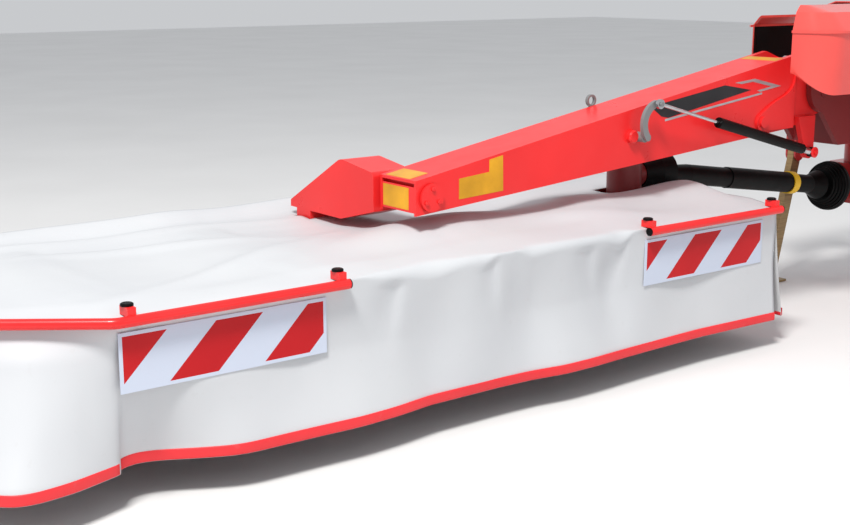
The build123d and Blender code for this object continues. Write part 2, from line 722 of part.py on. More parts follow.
# Guard tubes with clamp tabs that reach over the cover's edge
tube_front_y = COVER_FRONT_Y - TUBE_STAND_OFF
tube_rear_y = COVER_REAR_Y + TUBE_STAND_OFF
tube_outer_x = COVER_OUTER_X - TUBE_STAND_OFF
chamfer_turn = atan2(CHAMFER_Y - COVER_FRONT_Y, CHAMFER_X - COVER_OUTER_X)
front_shift = TUBE_STAND_OFF * tan(chamfer_turn / 2)
outer_shift = TUBE_STAND_OFF * tan(pi / 4 - chamfer_turn / 2)
tubes = {
    "guard_tube_outer": {
        "path": (
            (OUTER_TUBE_END_X, tube_front_y),
            (CHAMFER_X - front_shift, tube_front_y),
            (tube_outer_x, CHAMFER_Y - outer_shift),
            (tube_outer_x, OUTER_TUBE_REAR_Y),
        ),
        "tabs": CARRIER_XS[:2],
        "inward": 1,
    },
    "guard_tube_inner": {
        "path": ((INNER_TUBE_START_X, tube_front_y), (COVER_INNER_X, tube_front_y)),
        "tabs": CARRIER_XS[3:],
        "inward": 1,
    },
    "guard_tube_rear": {
        "path": ((COVER_OUTER_X + REAR_CHAMFER, tube_rear_y), (COVER_INNER_X, tube_rear_y)),
        "tabs": CARRIER_XS,
        "inward": -1,
    },
}
for tube_name, tube in tubes.items():
    with BuildPart() as guard_tube:
        with BuildLine(Plane.XY.offset(TUBE_Z)) as tube_path:
            if len(tube["path"]) > 2:
                FilletPolyline(*tube["path"], radius=TUBE_BEND)
            else:
                Polyline(*tube["path"])
        with BuildSketch(Plane(origin=tube_path.line @ 0, z_dir=tube_path.line % 0)):
            Circle(TUBE_RADIUS)
            Circle(TUBE_RADIUS - TUBE_WALL, mode=Mode.SUBTRACT)
        sweep(path=tube_path.line)
        tube_y = tube["path"][0][1]
        with BuildSketch(Plane.XY.offset(TAB_BOTTOM_Z)):
            for tab_x in tube["tabs"]:
                with Locations((tab_x, tube_y + tube["inward"] * TAB_REACH / 2)):
                    Rectangle(TAB_WIDTH, TAB_REACH)
        extrude(amount=TAB_HEIGHT)
    write(guard_tube.part, tube_name)

# Striped warning panels
with BuildPart() as warning_panels:
    for panel_x in PANEL_STARTS:
        with BuildSketch(upright(COVER_FRONT_Y)):
            with Locations((panel_x + PANEL_LENGTH / 2, PANEL_TOP_Z - PANEL_HEIGHT / 2)):
                Rectangle(PANEL_LENGTH, PANEL_HEIGHT)
        extrude(amount=PANEL_THICK)
write(warning_panels.part, "warning_panels")

# Arm: the tapered box, open at its tip, and two cheeks at its root
arm_side = (
    (ARM_TIP_X, ARM_TIP_BOTTOM_Z),
    (ARM_TIP_X, ARM_TIP_TOP_Z),
    (ARM_HEEL_TOP_X, ARM_HEEL_TOP_Z),
    (FOLD_X, FOLD_Z + ARM_ROOT_RADIUS),
    (FOLD_X, FOLD_Z - ARM_ROOT_RADIUS),
    (ARM_HEEL_BOTTOM_X, ARM_HEEL_BOTTOM_Z),
)
top_slope = (ARM_HEEL_TOP_Z - ARM_TIP_TOP_Z) / (ARM_HEEL_TOP_X - ARM_TIP_X)
bottom_slope = (ARM_HEEL_BOTTOM_Z - ARM_TIP_BOTTOM_Z) / (ARM_HEEL_BOTTOM_X - ARM_TIP_X)


def arm_top(x):
    """Height of the arm's top face."""
    return ARM_TIP_TOP_Z + top_slope * (x - ARM_TIP_X)


def arm_bottom(x):
    """Height of the arm's underside."""
    return ARM_TIP_BOTTOM_Z + bottom_slope * (x - ARM_TIP_X)


with BuildPart() as arm:
    with BuildSketch(upright(ARM_FRONT_Y)):
        with BuildLine():
            Polyline(*arm_side, close=True)
        make_face()
        with Locations((FOLD_X, FOLD_Z)):
            Circle(ARM_ROOT_RADIUS)
    extrude(amount=-ARM_WIDTH)
    with BuildSketch(upright(ARM_FRONT_Y + ARM_WALL)):
        with BuildLine():
            Polyline(
                (ARM_TIP_X - ARM_WALL, arm_bottom(ARM_TIP_X - ARM_WALL) - ARM_WALL),
                (ARM_TIP_X - ARM_WALL, arm_top(ARM_TIP_X - ARM_WALL) - ARM_WALL),
                (ARM_BOX_END_X - ARM_WALL, arm_top(ARM_BOX_END_X - ARM_WALL) - ARM_WALL),
                (ARM_BOX_END_X - ARM_WALL, arm_bottom(ARM_BOX_END_X - ARM_WALL) + ARM_WALL),
                (TILT_X + TILT_BOSS_RADIUS, arm_bottom(TILT_X + TILT_BOSS_RADIUS) + ARM_WALL),
                (TILT_X + TILT_BOSS_RADIUS, arm_bottom(TILT_X + TILT_BOSS_RADIUS) - ARM_WALL),
                close=True,
            )
        make_face()
    extrude(amount=-(ARM_WIDTH - 2 * ARM_WALL), mode=Mode.SUBTRACT)
    with BuildSketch(upright(ARM_FRONT_Y + ARM_CHEEK)):
        with BuildLine():
            Polyline(
                (ARM_BOX_END_X, FOLD_Z - ARM_WIDTH),
                (ARM_BOX_END_X, FOLD_Z + ARM_WIDTH),
                (FOLD_X + ARM_WIDTH, FOLD_Z + ARM_WIDTH),
                (FOLD_X + ARM_WIDTH, FOLD_Z - ARM_WIDTH),
                close=True,
            )
        make_face()
    extrude(amount=-(ARM_WIDTH - 2 * ARM_CHEEK), mode=Mode.SUBTRACT)
    with BuildSketch(upright(ARM_FRONT_Y)):
        with Locations((TILT_X, TILT_Z)):
            Circle(TILT_BOSS_RADIUS)
    extrude(amount=-ARM_WIDTH)
    for boss_y in (ARM_FRONT_Y, ARM_MID_Y + CYL_EYE_WIDTH / 2 + SIDE_PLAY):
        with BuildSketch(upright(boss_y)):
            with Locations((HORN_X, HORN_Z)):
                Circle(HORN_BOSS_RADIUS)
        extrude(amount=-(ARM_WIDTH / 2 - CYL_EYE_WIDTH / 2 - SIDE_PLAY))
    with BuildSketch(upright(ARM_FRONT_Y + ARM_WALL)):
        with BuildLine():
            Polyline(
                (ARM_TIP_X + TIP_PLATE_INSET, TIP_PLATE_BOTTOM_Z),
                (ARM_TIP_X + TIP_PLATE_INSET, arm_top(ARM_TIP_X + TIP_PLATE_INSET) - ARM_WALL),
                (TILT_X, arm_top(TILT_X) - ARM_WALL),
                (TILT_X, TIP_PLATE_BOTTOM_Z),
                close=True,
            )
        make_face()
    extrude(amount=-(ARM_WIDTH - 2 * ARM_WALL))
    with BuildSketch(upright(ARM_FRONT_Y)):
        with Locations((TILT_X, TILT_Z)):
            Circle(TILT_PIN_RADIUS + FIT)
        with Locations((FOLD_X, FOLD_Z)):
            Circle(FOLD_PIN_RADIUS + FIT)
    extrude(amount=-ARM_WIDTH, mode=Mode.SUBTRACT)
    with BuildSketch(upright(ARM_FRONT_Y)):
        with BuildLine():
            foot = Line((DOUBLER_END_X, BOSS_Z - DOUBLER_RADIUS), (BOSS_X, BOSS_Z - DOUBLER_RADIUS))
            nose = CenterArc((BOSS_X, BOSS_Z), DOUBLER_RADIUS, -90, -DOUBLER_SWEEP)
            brow = Spline(
                nose @ 1, DOUBLER_BROW, (DOUBLER_END_X, DOUBLER_TOP_Z), tangents=(nose % 1, (0, 1))
            )
            Line(brow @ 1, foot @ 0)
        make_face()
    extrude(amount=DOUBLER_THICK)
    with BuildSketch(upright(ARM_FRONT_Y - DOUBLER_THICK)):
        with Locations((BOSS_X, BOSS_Z)):
            Circle(BOSS_RADIUS)
    extrude(amount=BOSS_LENGTH)
write(arm.part, "arm")

# Tilt pin, fixed in the pivot bracket, with a head in front of the arm
with BuildPart() as tilt_pin:
    with BuildSketch(upright(ARM_FRONT_Y - SIDE_PLAY)):
        with Locations((TILT_X, TILT_Z)):
            Circle(TILT_PIN_RADIUS)
    extrude(amount=-(TILT_PIN_END_Y - ARM_FRONT_Y + SIDE_PLAY))
    with BuildSketch(upright(ARM_FRONT_Y - SIDE_PLAY)):
        with Locations((TILT_X, TILT_Z)):
            Circle(TILT_HEAD_RADIUS)
    extrude(amount=TILT_HEAD_THICK)
write(tilt_pin.part, "tilt_pin")

# Pivot bracket on the beam
with BuildPart() as pivot_bracket:
    with BuildSketch(Plane.YZ.offset(TILT_X - BRACKET_WIDTH / 2)) as bracket_side:
        with BuildLine():
            FilletPolyline(
                (BRACKET_FRONT_Y, BRACKET_FRONT_BOTTOM_Z),
                (BRACKET_FRONT_Y, BRACKET_FRONT_TOP_Z),
                (BRACKET_PEAK_Y, BRACKET_PEAK_Z),
                (BRACKET_TIP_Y, BRACKET_TIP_Z),
                (BRACKET_TIP_Y, BRACKET_FOOT_Z),
                (BEAM_Y + BRACKET_LEG_HALF, BRACKET_FOOT_Z),
                (BEAM_Y + BRACKET_LEG_HALF, BEAM_TOP_Z),
                (BEAM_Y - BRACKET_LEG_HALF, BEAM_TOP_Z),
                (BEAM_Y - BRACKET_LEG_HALF, BRACKET_FOOT_Z),
                (BRACKET_PEAK_Y, BRACKET_FOOT_Z),
                radius=(0, 20, BRACKET_CREST, 8, 0, 0, 0, 0, 0, BRACKET_CREST),
                close=True,
            )
        make_face()
    extrude(amount=BRACKET_WIDTH)
    with BuildSketch(upright(BRACKET_FRONT_Y)):
        with Locations((TILT_X, TILT_Z)):
            Circle(TILT_PIN_RADIUS + FIT)
    extrude(amount=-(TILT_PIN_END_Y - BRACKET_FRONT_Y), mode=Mode.SUBTRACT)
write(pivot_bracket.part, "pivot_bracket")

# Curved latch lever on the arm's front face
with BuildPart() as latch_lever:
    with BuildSketch(upright(ARM_FRONT_Y - LEVER_GAP)):
        with BuildLine(mode=Mode.PRIVATE) as lever_line:
            ThreePointArc(LEVER_FOOT, LEVER_BELLY, LEVER_TIP)
        SlotArc(lever_line.edge(), LEVER_WIDTH)
    extrude(amount=LEVER_THICK)
    with BuildSketch(upright(ARM_FRONT_Y - LEVER_GAP)):
        with Locations(LEVER_FOOT):
            Circle(LEVER_BOSS_RADIUS)
    extrude(amount=-LEVER_GAP)
    with BuildSketch(upright(ARM_FRONT_Y - LEVER_GAP)):
        with Locations(LEVER_TIP):
            Circle(STRUT_RING_HOLE - FIT)
    extrude(amount=ARM_FRONT_Y - LEVER_GAP - STRUT_TIP_Y + STRUT_RING_WIDTH)
write(latch_lever.part, "latch_lever")

# Hose guide ring behind the arm
with BuildPart() as hose_guide:
    with BuildSketch(upright(ARM_BACK_Y)):
        with Locations((GUIDE_X, GUIDE_Z)):
            Circle(GUIDE_RADIUS)
            Circle(GUIDE_RADIUS - GUIDE_WIRE, mode=Mode.SUBTRACT)
        with Locations((GUIDE_X, GUIDE_Z - 2 * GUIDE_RADIUS)):
            Rectangle(2 * GUIDE_WIRE, 2 * GUIDE_RADIUS + GUIDE_WIRE)
    extrude(amount=-2 * GUIDE_WIRE)
write(hose_guide.part, "hose_guide")

# Turret: lugs for the fold pin, a box beam and the sleeve on the king pin
with BuildPart() as turret:
    with BuildSketch(Plane.XY.offset(TURRET_BOTTOM_Z)):
        with BuildLine():
            Polyline(
                (TURRET_LEFT_X, LUG_FRONT_Y),
                (TURRET_RIGHT_X, LUG_FRONT_Y),
                (TURRET_RIGHT_X, LUG_BACK_Y),
                (TURRET_LEFT_X, LUG_BACK_Y),
                close=True,
            )
        make_face()
    extrude(amount=TURRET_TOP_Z - TURRET_BOTTOM_Z)
    with BuildSketch(Plane.XY.offset(TURRET_BOTTOM_Z)):
        with BuildLine():
            Polyline(
                (TURRET_LEFT_X + TURRET_WALL, LUG_FRONT_Y + TURRET_WALL),
                (TURRET_RIGHT_X - TURRET_WALL, LUG_FRONT_Y + TURRET_WALL),
                (TURRET_RIGHT_X - TURRET_WALL, LUG_BACK_Y - TURRET_WALL),
                (TURRET_LEFT_X + TURRET_WALL, LUG_BACK_Y - TURRET_WALL),
                close=True,
            )
        make_face()
    extrude(amount=TURRET_TOP_Z - TURRET_BOTTOM_Z - TURRET_WALL, mode=Mode.SUBTRACT)
    for lug_y in (LUG_FRONT_Y, LUG_BACK_Y - LUG_THICK):
        with BuildSketch(upright(lug_y)):
            with BuildLine():
                Polyline(
                    (FOLD_X - LUG_RADIUS, FOLD_Z),
                    (FOLD_X + LUG_RADIUS, FOLD_Z),
                    (TURRET_LEFT_X + LUG_RADIUS, TURRET_TOP_Z),
                    (TURRET_LEFT_X + LUG_RADIUS, TURRET_BOTTOM_Z),
                    (TURRET_LEFT_X, TURRET_BOTTOM_Z),
                    close=True,
                )
            make_face()
            with Locations((FOLD_X, FOLD_Z)):
                Circle(LUG_RADIUS)
                Circle(FOLD_PIN_RADIUS + FIT, mode=Mode.SUBTRACT)
        extrude(amount=-LUG_THICK)
    with BuildSketch(Plane.XY.offset(SLEEVE_BOTTOM_Z)):
        with Locations((KING_X, KING_Y)):
            Circle(SLEEVE_RADIUS)
    extrude(amount=SLEEVE_TOP_Z - SLEEVE_BOTTOM_Z)
    with BuildSketch(Plane.XY.offset(SLEEVE_BOTTOM_Z)):
        with Locations((KING_X, KING_Y)):
            Circle(KING_RADIUS + FIT)
    extrude(amount=SLEEVE_TOP_Z - SLEEVE_BOTTOM_Z, mode=Mode.SUBTRACT)
    for ear_side in (-1, 1):
        ear_y = ARM_MID_Y + ear_side * (CYL_EYE_WIDTH / 2 + SIDE_PLAY + EAR_THICK / 2) - EAR_THICK / 2
        with BuildSketch(upright(ear_y)):
            with Locations((CYL_BASE_X, CYL_BASE_Z)):
                Circle(CYL_EYE_RADIUS)
            with Locations((CYL_BASE_X, (CYL_BASE_Z + TURRET_TOP_Z) / 2)):
                Rectangle(2 * CYL_EYE_RADIUS, CYL_BASE_Z - TURRET_TOP_Z)
        extrude(amount=-EAR_THICK)
    with BuildSketch(upright(ARM_MID_Y - CYL_EYE_WIDTH / 2 - SIDE_PLAY - EAR_THICK)):
        with Locations((CYL_BASE_X, CYL_BASE_Z)):
            Circle(CYL_PIN_RADIUS)
    extrude(amount=-(CYL_EYE_WIDTH + 2 * SIDE_PLAY + 2 * EAR_THICK))
    for post_x in POST_XS:
        with BuildSketch(Plane.YZ.offset(post_x - POST_WIDTH / 2)):
            with BuildLine():
                Polyline(
                    (LUG_FRONT_Y, TURRET_TOP_Z - POST_WIDTH),
                    (LUG_FRONT_Y, TURRET_TOP_Z + POST_RISE - POST_THICK),
                    (HOOD_FRONT_Y + HOOD_WALL, TURRET_TOP_Z + POST_RISE - POST_THICK),
                    (HOOD_FRONT_Y + HOOD_WALL, TURRET_TOP_Z + POST_RISE),
                    (LUG_FRONT_Y + POST_THICK, TURRET_TOP_Z + POST_RISE),
                    (LUG_FRONT_Y + POST_THICK, TURRET_TOP_Z - POST_WIDTH),
                    close=True,
                )
            make_face()
        extrude(amount=POST_WIDTH)
write(turret.part, "turret")

# Fold pin, fixed in the turret's lugs
with BuildPart() as fold_pin:
    with BuildSketch(upright(LUG_FRONT_Y - SIDE_PLAY)):
        with Locations((FOLD_X, FOLD_Z)):
            Circle(FOLD_PIN_RADIUS)
    extrude(amount=-(LUG_BACK_Y - LUG_FRONT_Y + 2 * SIDE_PLAY))
write(fold_pin.part, "fold_pin")

# Fold cylinder
with BuildPart() as cylinder_barrel:
    with BuildSketch(upright(ARM_MID_Y - CYL_EYE_WIDTH / 2)):
        with Locations((CYL_BASE_X, CYL_BASE_Z)):
            Circle(CYL_EYE_RADIUS)
    extrude(amount=-CYL_EYE_WIDTH)
    with BuildSketch(CYL_PLANE):
        Circle(BARREL_RADIUS)
    extrude(amount=BARREL_LENGTH)
    with BuildSketch(CYL_PLANE.offset(CYL_EYE_RADIUS)):
        Circle(BARREL_BORE)
    extrude(amount=BARREL_LENGTH - CYL_EYE_RADIUS - BARREL_NECK, mode=Mode.SUBTRACT)
    with BuildSketch(CYL_PLANE.offset(CYL_EYE_RADIUS)):
        Circle(CYL_ROD_RADIUS + FIT)
    extrude(amount=BARREL_LENGTH, mode=Mode.SUBTRACT)
    with BuildSketch(upright(ARM_MID_Y - CYL_EYE_WIDTH)):
        with Locations((CYL_BASE_X, CYL_BASE_Z)):
            Circle(CYL_PIN_RADIUS + FIT)
    extrude(amount=-2 * CYL_EYE_WIDTH, mode=Mode.SUBTRACT)
write(cylinder_barrel.part, "cylinder_barrel")

with BuildPart() as cylinder_rod:
    with BuildSketch(CYL_PLANE.offset(BARREL_LENGTH - CYL_ROD_ENGAGED)):
        Circle(CYL_ROD_RADIUS)
    extrude(amount=CYL_LENGTH - BARREL_LENGTH + CYL_ROD_ENGAGED)
    with BuildSketch(upright(ARM_MID_Y - CYL_EYE_WIDTH / 2)):
        with Locations((HORN_X, HORN_Z)):
            Circle(CYL_EYE_RADIUS)
    extrude(amount=-CYL_EYE_WIDTH)
    with BuildSketch(upright(ARM_MID_Y - CYL_EYE_WIDTH)):
        with Locations((HORN_X, HORN_Z)):
            Circle(CYL_PIN_RADIUS)
    extrude(amount=-2 * CYL_EYE_WIDTH, mode=Mode.SUBTRACT)
write(cylinder_rod.part, "cylinder_rod")


# Headstock cover: a rounded shell with a domed top, slotted where the arm folds up
def hood_corners(inset):
    """Corner points of the hood's plan, drawn in by a distance."""
    return (
        (HOOD_LEFT_X + inset, HOOD_FRONT_Y + inset),
        (HOOD_RIGHT_X - inset, HOOD_FRONT_Y + inset),
        (HOOD_RIGHT_X - inset, HOOD_REAR_Y - inset),
        (HOOD_REAR_LEFT_X + inset, HOOD_REAR_Y - inset),
    )


def hood_outline(z, inset, corner_inset):
    """Face of the hood's plan at a height; the corner radii shrink with the inset."""
    radii = [max(radius - corner_inset, radius / 4) for radius in HOOD_CORNERS]
    with BuildSketch(Plane.XY.offset(z), mode=Mode.PRIVATE) as outline:
        with BuildLine():
            FilletPolyline(*hood_corners(inset), radius=radii, close=True)
        make_face()
    return outline.sketch


with BuildPart() as headstock_cover:
    extrude(hood_outline(HOOD_BOTTOM_Z, 0, 0), amount=HOOD_SHOULDER_Z - HOOD_BOTTOM_Z, dir=(0, 0, 1))
    loft(
        [
            hood_outline(HOOD_SHOULDER_Z, 0, 0).face(),
            hood_outline(HOOD_SHOULDER_Z + HOOD_HAUNCH_RISE, HOOD_HAUNCH_INSET, HOOD_HAUNCH_INSET).face(),
            hood_outline(HOOD_TOP_Z, HOOD_CROWN_INSET, HOOD_CROWN_INSET).face(),
        ],
        ruled=True,
    )
    extrude(
        hood_outline(HOOD_SHOULDER_Z - HOOD_LIP_HEIGHT, -HOOD_LIP, -HOOD_LIP),
        amount=HOOD_LIP_HEIGHT,
        dir=(0, 0, 1),
    )
    extrude(
        hood_outline(HOOD_BOTTOM_Z, HOOD_WALL, HOOD_WALL),
        amount=HOOD_SHOULDER_Z - HOOD_BOTTOM_Z,
        dir=(0, 0, 1),
        mode=Mode.SUBTRACT,
    )
    loft(
        [
            hood_outline(HOOD_SHOULDER_Z, HOOD_WALL, HOOD_WALL).face(),
            hood_outline(
                HOOD_SHOULDER_Z + HOOD_HAUNCH_RISE - HOOD_WALL,
                HOOD_HAUNCH_INSET + HOOD_WALL,
                HOOD_HAUNCH_INSET + HOOD_WALL,
            ).face(),
            hood_outline(HOOD_TOP_Z - HOOD_WALL, HOOD_CROWN_INSET, HOOD_CROWN_INSET).face(),
        ],
        ruled=True,
        mode=Mode.SUBTRACT,
    )
    with BuildSketch(Plane.XY.offset(HOOD_BOTTOM_Z)):
        with BuildLine():
            Polyline(
                (HOOD_LEFT_X - HOOD_CROWN_INSET, HOOD_SLOT_FRONT_Y),
                (HOOD_SLOT_END_X, HOOD_SLOT_FRONT_Y),
                (HOOD_SLOT_END_X, HOOD_SLOT_REAR_Y),
                (HOOD_LEFT_X - HOOD_CROWN_INSET, HOOD_SLOT_REAR_Y),
                close=True,
            )
        make_face()
    extrude(amount=HOOD_TOP_Z - HOOD_BOTTOM_Z, mode=Mode.SUBTRACT)
    with BuildSketch(upright(HOOD_FRONT_Y - HOOD_LIP)):
        with Locations((HOOD_NOSE_X + HOOD_HEM_RADIUS / 2, HOOD_BOTTOM_Z + HOOD_HEM_RADIUS / 2)):
            Rectangle(HOOD_HEM_RADIUS, HOOD_HEM_RADIUS)
        with Locations((HOOD_NOSE_X + HOOD_HEM_RADIUS, HOOD_BOTTOM_Z + HOOD_HEM_RADIUS)):
            Circle(HOOD_HEM_RADIUS, mode=Mode.SUBTRACT)
    extrude(amount=-(HOOD_SLOT_FRONT_Y - HOOD_FRONT_Y + HOOD_LIP), mode=Mode.SUBTRACT)
write(headstock_cover.part, "headstock_cover")

# Cross tube with the cheeks for the lower links
with BuildPart() as cross_tube:
    with BuildSketch(Plane.YZ.offset(HITCH_X - HITCH_SHOULDER)):
        with Locations((CROSS_Y, CROSS_Z)):
            Rectangle(CROSS_SIZE, CROSS_SIZE)
            Rectangle(CROSS_SIZE - 2 * CROSS_WALL, CROSS_SIZE - 2 * CROSS_WALL, mode=Mode.SUBTRACT)
    extrude(amount=2 * HITCH_SHOULDER)
    for cheek_x in (HITCH_X - HITCH_SHOULDER, HITCH_X + HITCH_SHOULDER - CHEEK_THICK):
        with BuildSketch(Plane.YZ.offset(cheek_x)):
            with BuildLine():
                Polyline(
                    (HITCH_PIN_Y - CHEEK_RADIUS, HITCH_PIN_Z),
                    (CROSS_Y - CROSS_SIZE / 2, CROSS_TOP_Z),
                    (CROSS_Y + CROSS_SIZE / 2, CROSS_TOP_Z),
                    (CROSS_Y + CROSS_SIZE / 2, CROSS_TOP_Z - CROSS_SIZE),
                    (HITCH_PIN_Y + CHEEK_RADIUS, HITCH_PIN_Z),
                    close=True,
                )
            make_face()
            with Locations((HITCH_PIN_Y, HITCH_PIN_Z)):
                Circle(CHEEK_RADIUS)
        extrude(amount=CHEEK_THICK)
write(cross_tube.part, "cross_tube")

# Yoke: two plates back to the king pin, joined by gussets; the lower one is wider and carries the mast
mast_foot_z = LOWER_YOKE_Z + YOKE_THICK
with BuildPart() as yoke:
    for yoke_z in (LOWER_YOKE_Z, UPPER_YOKE_Z):
        with BuildSketch(Plane.XY.offset(yoke_z)):
            with BuildLine():
                Polyline(
                    (YOKE_LEFT_X, CROSS_Y - CROSS_SIZE / 2),
                    (YOKE_RIGHT_X, CROSS_Y - CROSS_SIZE / 2),
                    (YOKE_RIGHT_X, KING_Y),
                    (YOKE_LEFT_X, KING_Y),
                    close=True,
                )
            make_face()
            with Locations((KING_X, KING_Y)):
                Circle(YOKE_EYE_RADIUS)
        extrude(amount=YOKE_THICK)
    with BuildSketch(Plane.XY.offset(LOWER_YOKE_Z)):
        with BuildLine():
            Polyline(
                (YOKE_LEFT_X, CROSS_Y - CROSS_SIZE / 2),
                (YOKE_BASE_RIGHT_X, CROSS_Y - CROSS_SIZE / 2),
                (YOKE_BASE_RIGHT_X, CROSS_Y + CROSS_SIZE),
                (YOKE_RIGHT_X, GUSSET_REAR_Y),
                (YOKE_LEFT_X, GUSSET_REAR_Y),
                close=True,
            )
        make_face()
    extrude(amount=YOKE_THICK)
    for gusset_x in (YOKE_LEFT_X, YOKE_RIGHT_X - GUSSET_THICK):
        with BuildSketch(Plane.YZ.offset(gusset_x)):
            with BuildLine():
                Polyline(
                    (CROSS_Y - CROSS_SIZE / 2, LOWER_YOKE_Z),
                    (GUSSET_REAR_Y, LOWER_YOKE_Z),
                    (GUSSET_REAR_Y, UPPER_YOKE_Z + YOKE_THICK),
                    (CROSS_Y - CROSS_SIZE / 2, UPPER_YOKE_Z + YOKE_THICK),
                    close=True,
                )
            make_face()
        extrude(amount=GUSSET_THICK)
    with BuildSketch(Plane.XY.offset(LOWER_YOKE_Z)):
        with Locations((KING_X, KING_Y)):
            Circle(KING_RADIUS + FIT)
    extrude(amount=UPPER_YOKE_Z + YOKE_THICK - LOWER_YOKE_Z, mode=Mode.SUBTRACT)
write(yoke.part, "yoke")

# Mast for the top link
with BuildPart() as mast:
    for mast_x in (HITCH_X - MAST_GAP / 2 - MAST_THICK, HITCH_X + MAST_GAP / 2):
        with BuildSketch(Plane.YZ.offset(mast_x)):
            with BuildLine():
                Polyline(
                    (CROSS_Y - CROSS_SIZE / 2, mast_foot_z),
                    (MAST_FRONT_Y, TOP_LINK_Z - CROSS_SIZE),
                    (MAST_FRONT_Y, MAST_TOP_Z),
                    (CROSS_Y + CROSS_SIZE / 2, MAST_TOP_Z),
                    (CROSS_Y + CROSS_SIZE, mast_foot_z),
                    close=True,
                )
            make_face()
            with Locations((TOP_LINK_Y, TOP_LINK_Z)):
                Circle(TOP_LINK_RADIUS, mode=Mode.SUBTRACT)
        extrude(amount=MAST_THICK)
write(mast.part, "mast")

# Hanger behind the turret: carries the gearbox, and the parking leg between two cheeks
hanger_left_x = LEG_PIVOT_X - LEG_EYE_RADIUS
hanger_right_x = HITCH_X + BOX_HALF_X
hanger_rear_y = LEG_Y + LEG_WIDTH
leg_side_y = LEG_Y - LEG_WIDTH
with BuildPart() as hanger:
    with BuildSketch(Plane.XY.offset(TURRET_BOTTOM_Z)):
        with BuildLine():
            Polyline(
                (HITCH_X - BOX_HALF_X, LUG_BACK_Y),
                (hanger_right_x, LUG_BACK_Y),
                (hanger_right_x, hanger_rear_y),
                (hanger_left_x, hanger_rear_y),
                (hanger_left_x, leg_side_y),
                (HITCH_X - BOX_HALF_X, leg_side_y),
                close=True,
            )
        make_face()
    extrude(amount=HANGER_THICK)
    for cheek_side in (-1, 1):
        cheek_shift = LEG_THICK / 2 + LEG_CHEEK_GAP + LEG_CHEEK_THICK / 2
        cheek_y = LEG_Y + cheek_side * cheek_shift - LEG_CHEEK_THICK / 2
        with BuildSketch(upright(cheek_y)):
            with Locations((LEG_PIVOT_X, LEG_PIVOT_Z)):
                Circle(LEG_EYE_RADIUS)
            with Locations((LEG_PIVOT_X, (LEG_PIVOT_Z + TURRET_BOTTOM_Z) / 2)):
                Rectangle(2 * LEG_EYE_RADIUS, TURRET_BOTTOM_Z - LEG_PIVOT_Z)
        extrude(amount=-LEG_CHEEK_THICK)
    with BuildSketch(upright(LEG_Y - LEG_THICK / 2 - LEG_CHEEK_GAP - LEG_CHEEK_THICK)):
        with Locations((LEG_PIVOT_X, LEG_PIVOT_Z)):
            Circle(LEG_PIN_RADIUS)
    extrude(amount=-(LEG_THICK + 2 * LEG_CHEEK_GAP + 2 * LEG_CHEEK_THICK))
write(hanger.part, "hanger")

# King pin through yoke and turret
with BuildPart() as king_pin:
    with BuildSketch(Plane.XY.offset(KING_BOTTOM_Z)):
        with Locations((KING_X, KING_Y)):
            Circle(KING_RADIUS)
    extrude(amount=KING_TOP_Z - KING_BOTTOM_Z)
    with BuildSketch(Plane.XY.offset(UPPER_YOKE_Z + YOKE_THICK)):
        with Locations((KING_X, KING_Y)):
            Circle(SLEEVE_RADIUS - TURRET_WALL)
    extrude(amount=KING_TOP_Z - UPPER_YOKE_Z - YOKE_THICK)
write(king_pin.part, "king_pin")

# Lower hitch pins, pointing outwards from the cheeks
with BuildPart() as hitch_pins:
    for pin_x, pin_length in (
        (HITCH_X + HITCH_SHOULDER, HITCH_PIN_LENGTH),
        (HITCH_X - HITCH_SHOULDER, -HITCH_PIN_LENGTH),
    ):
        with BuildSketch(Plane.YZ.offset(pin_x)):
            with Locations((HITCH_PIN_Y, HITCH_PIN_Z)):
                Circle(HITCH_PIN_RADIUS)
        extrude(amount=pin_length)
write(hitch_pins.part, "hitch_pins")

# Headstock gearbox under the hanger
with BuildPart() as headstock_gearbox:
    with BuildSketch(Plane.XY.offset(BOX_Z - BOX_HALF_Z)):
        with Locations((HITCH_X, DISC_Y)):
            RectangleRounded(2 * BOX_HALF_X, 2 * BOX_HALF_Y, BOX_EDGE)
    extrude(amount=2 * BOX_HALF_Z)
    with BuildSketch(Plane.XY.offset(BOX_Z)):
        with Locations((HITCH_X, DISC_Y)):
            Circle(NECK_RADIUS)
    extrude(amount=TURRET_BOTTOM_Z - BOX_Z)
    with BuildSketch(Plane(origin=(HITCH_X, DISC_Y, BOX_Z), z_dir=(0, -1, 0))):
        Circle(INPUT_BOSS_RADIUS)
    extrude(amount=BOX_HALF_Y + INPUT_BOSS_LENGTH)
    with BuildSketch(Plane(origin=(HITCH_X, DISC_Y, BOX_Z), z_dir=(-1, 0, 0))):
        Circle(OUTPUT_RADIUS)
    extrude(amount=HITCH_X - KING_X - BALL_RADIUS - FIT)
write(headstock_gearbox.part, "headstock_gearbox")

with BuildPart() as input_shaft:
    with BuildSketch(Plane(origin=(HITCH_X, DISC_Y - BOX_HALF_Y - INPUT_BOSS_LENGTH, BOX_Z), z_dir=(0, -1, 0))):
        Circle(INPUT_RADIUS)
    extrude(amount=INPUT_LENGTH)
write(input_shaft.part, "input_shaft")

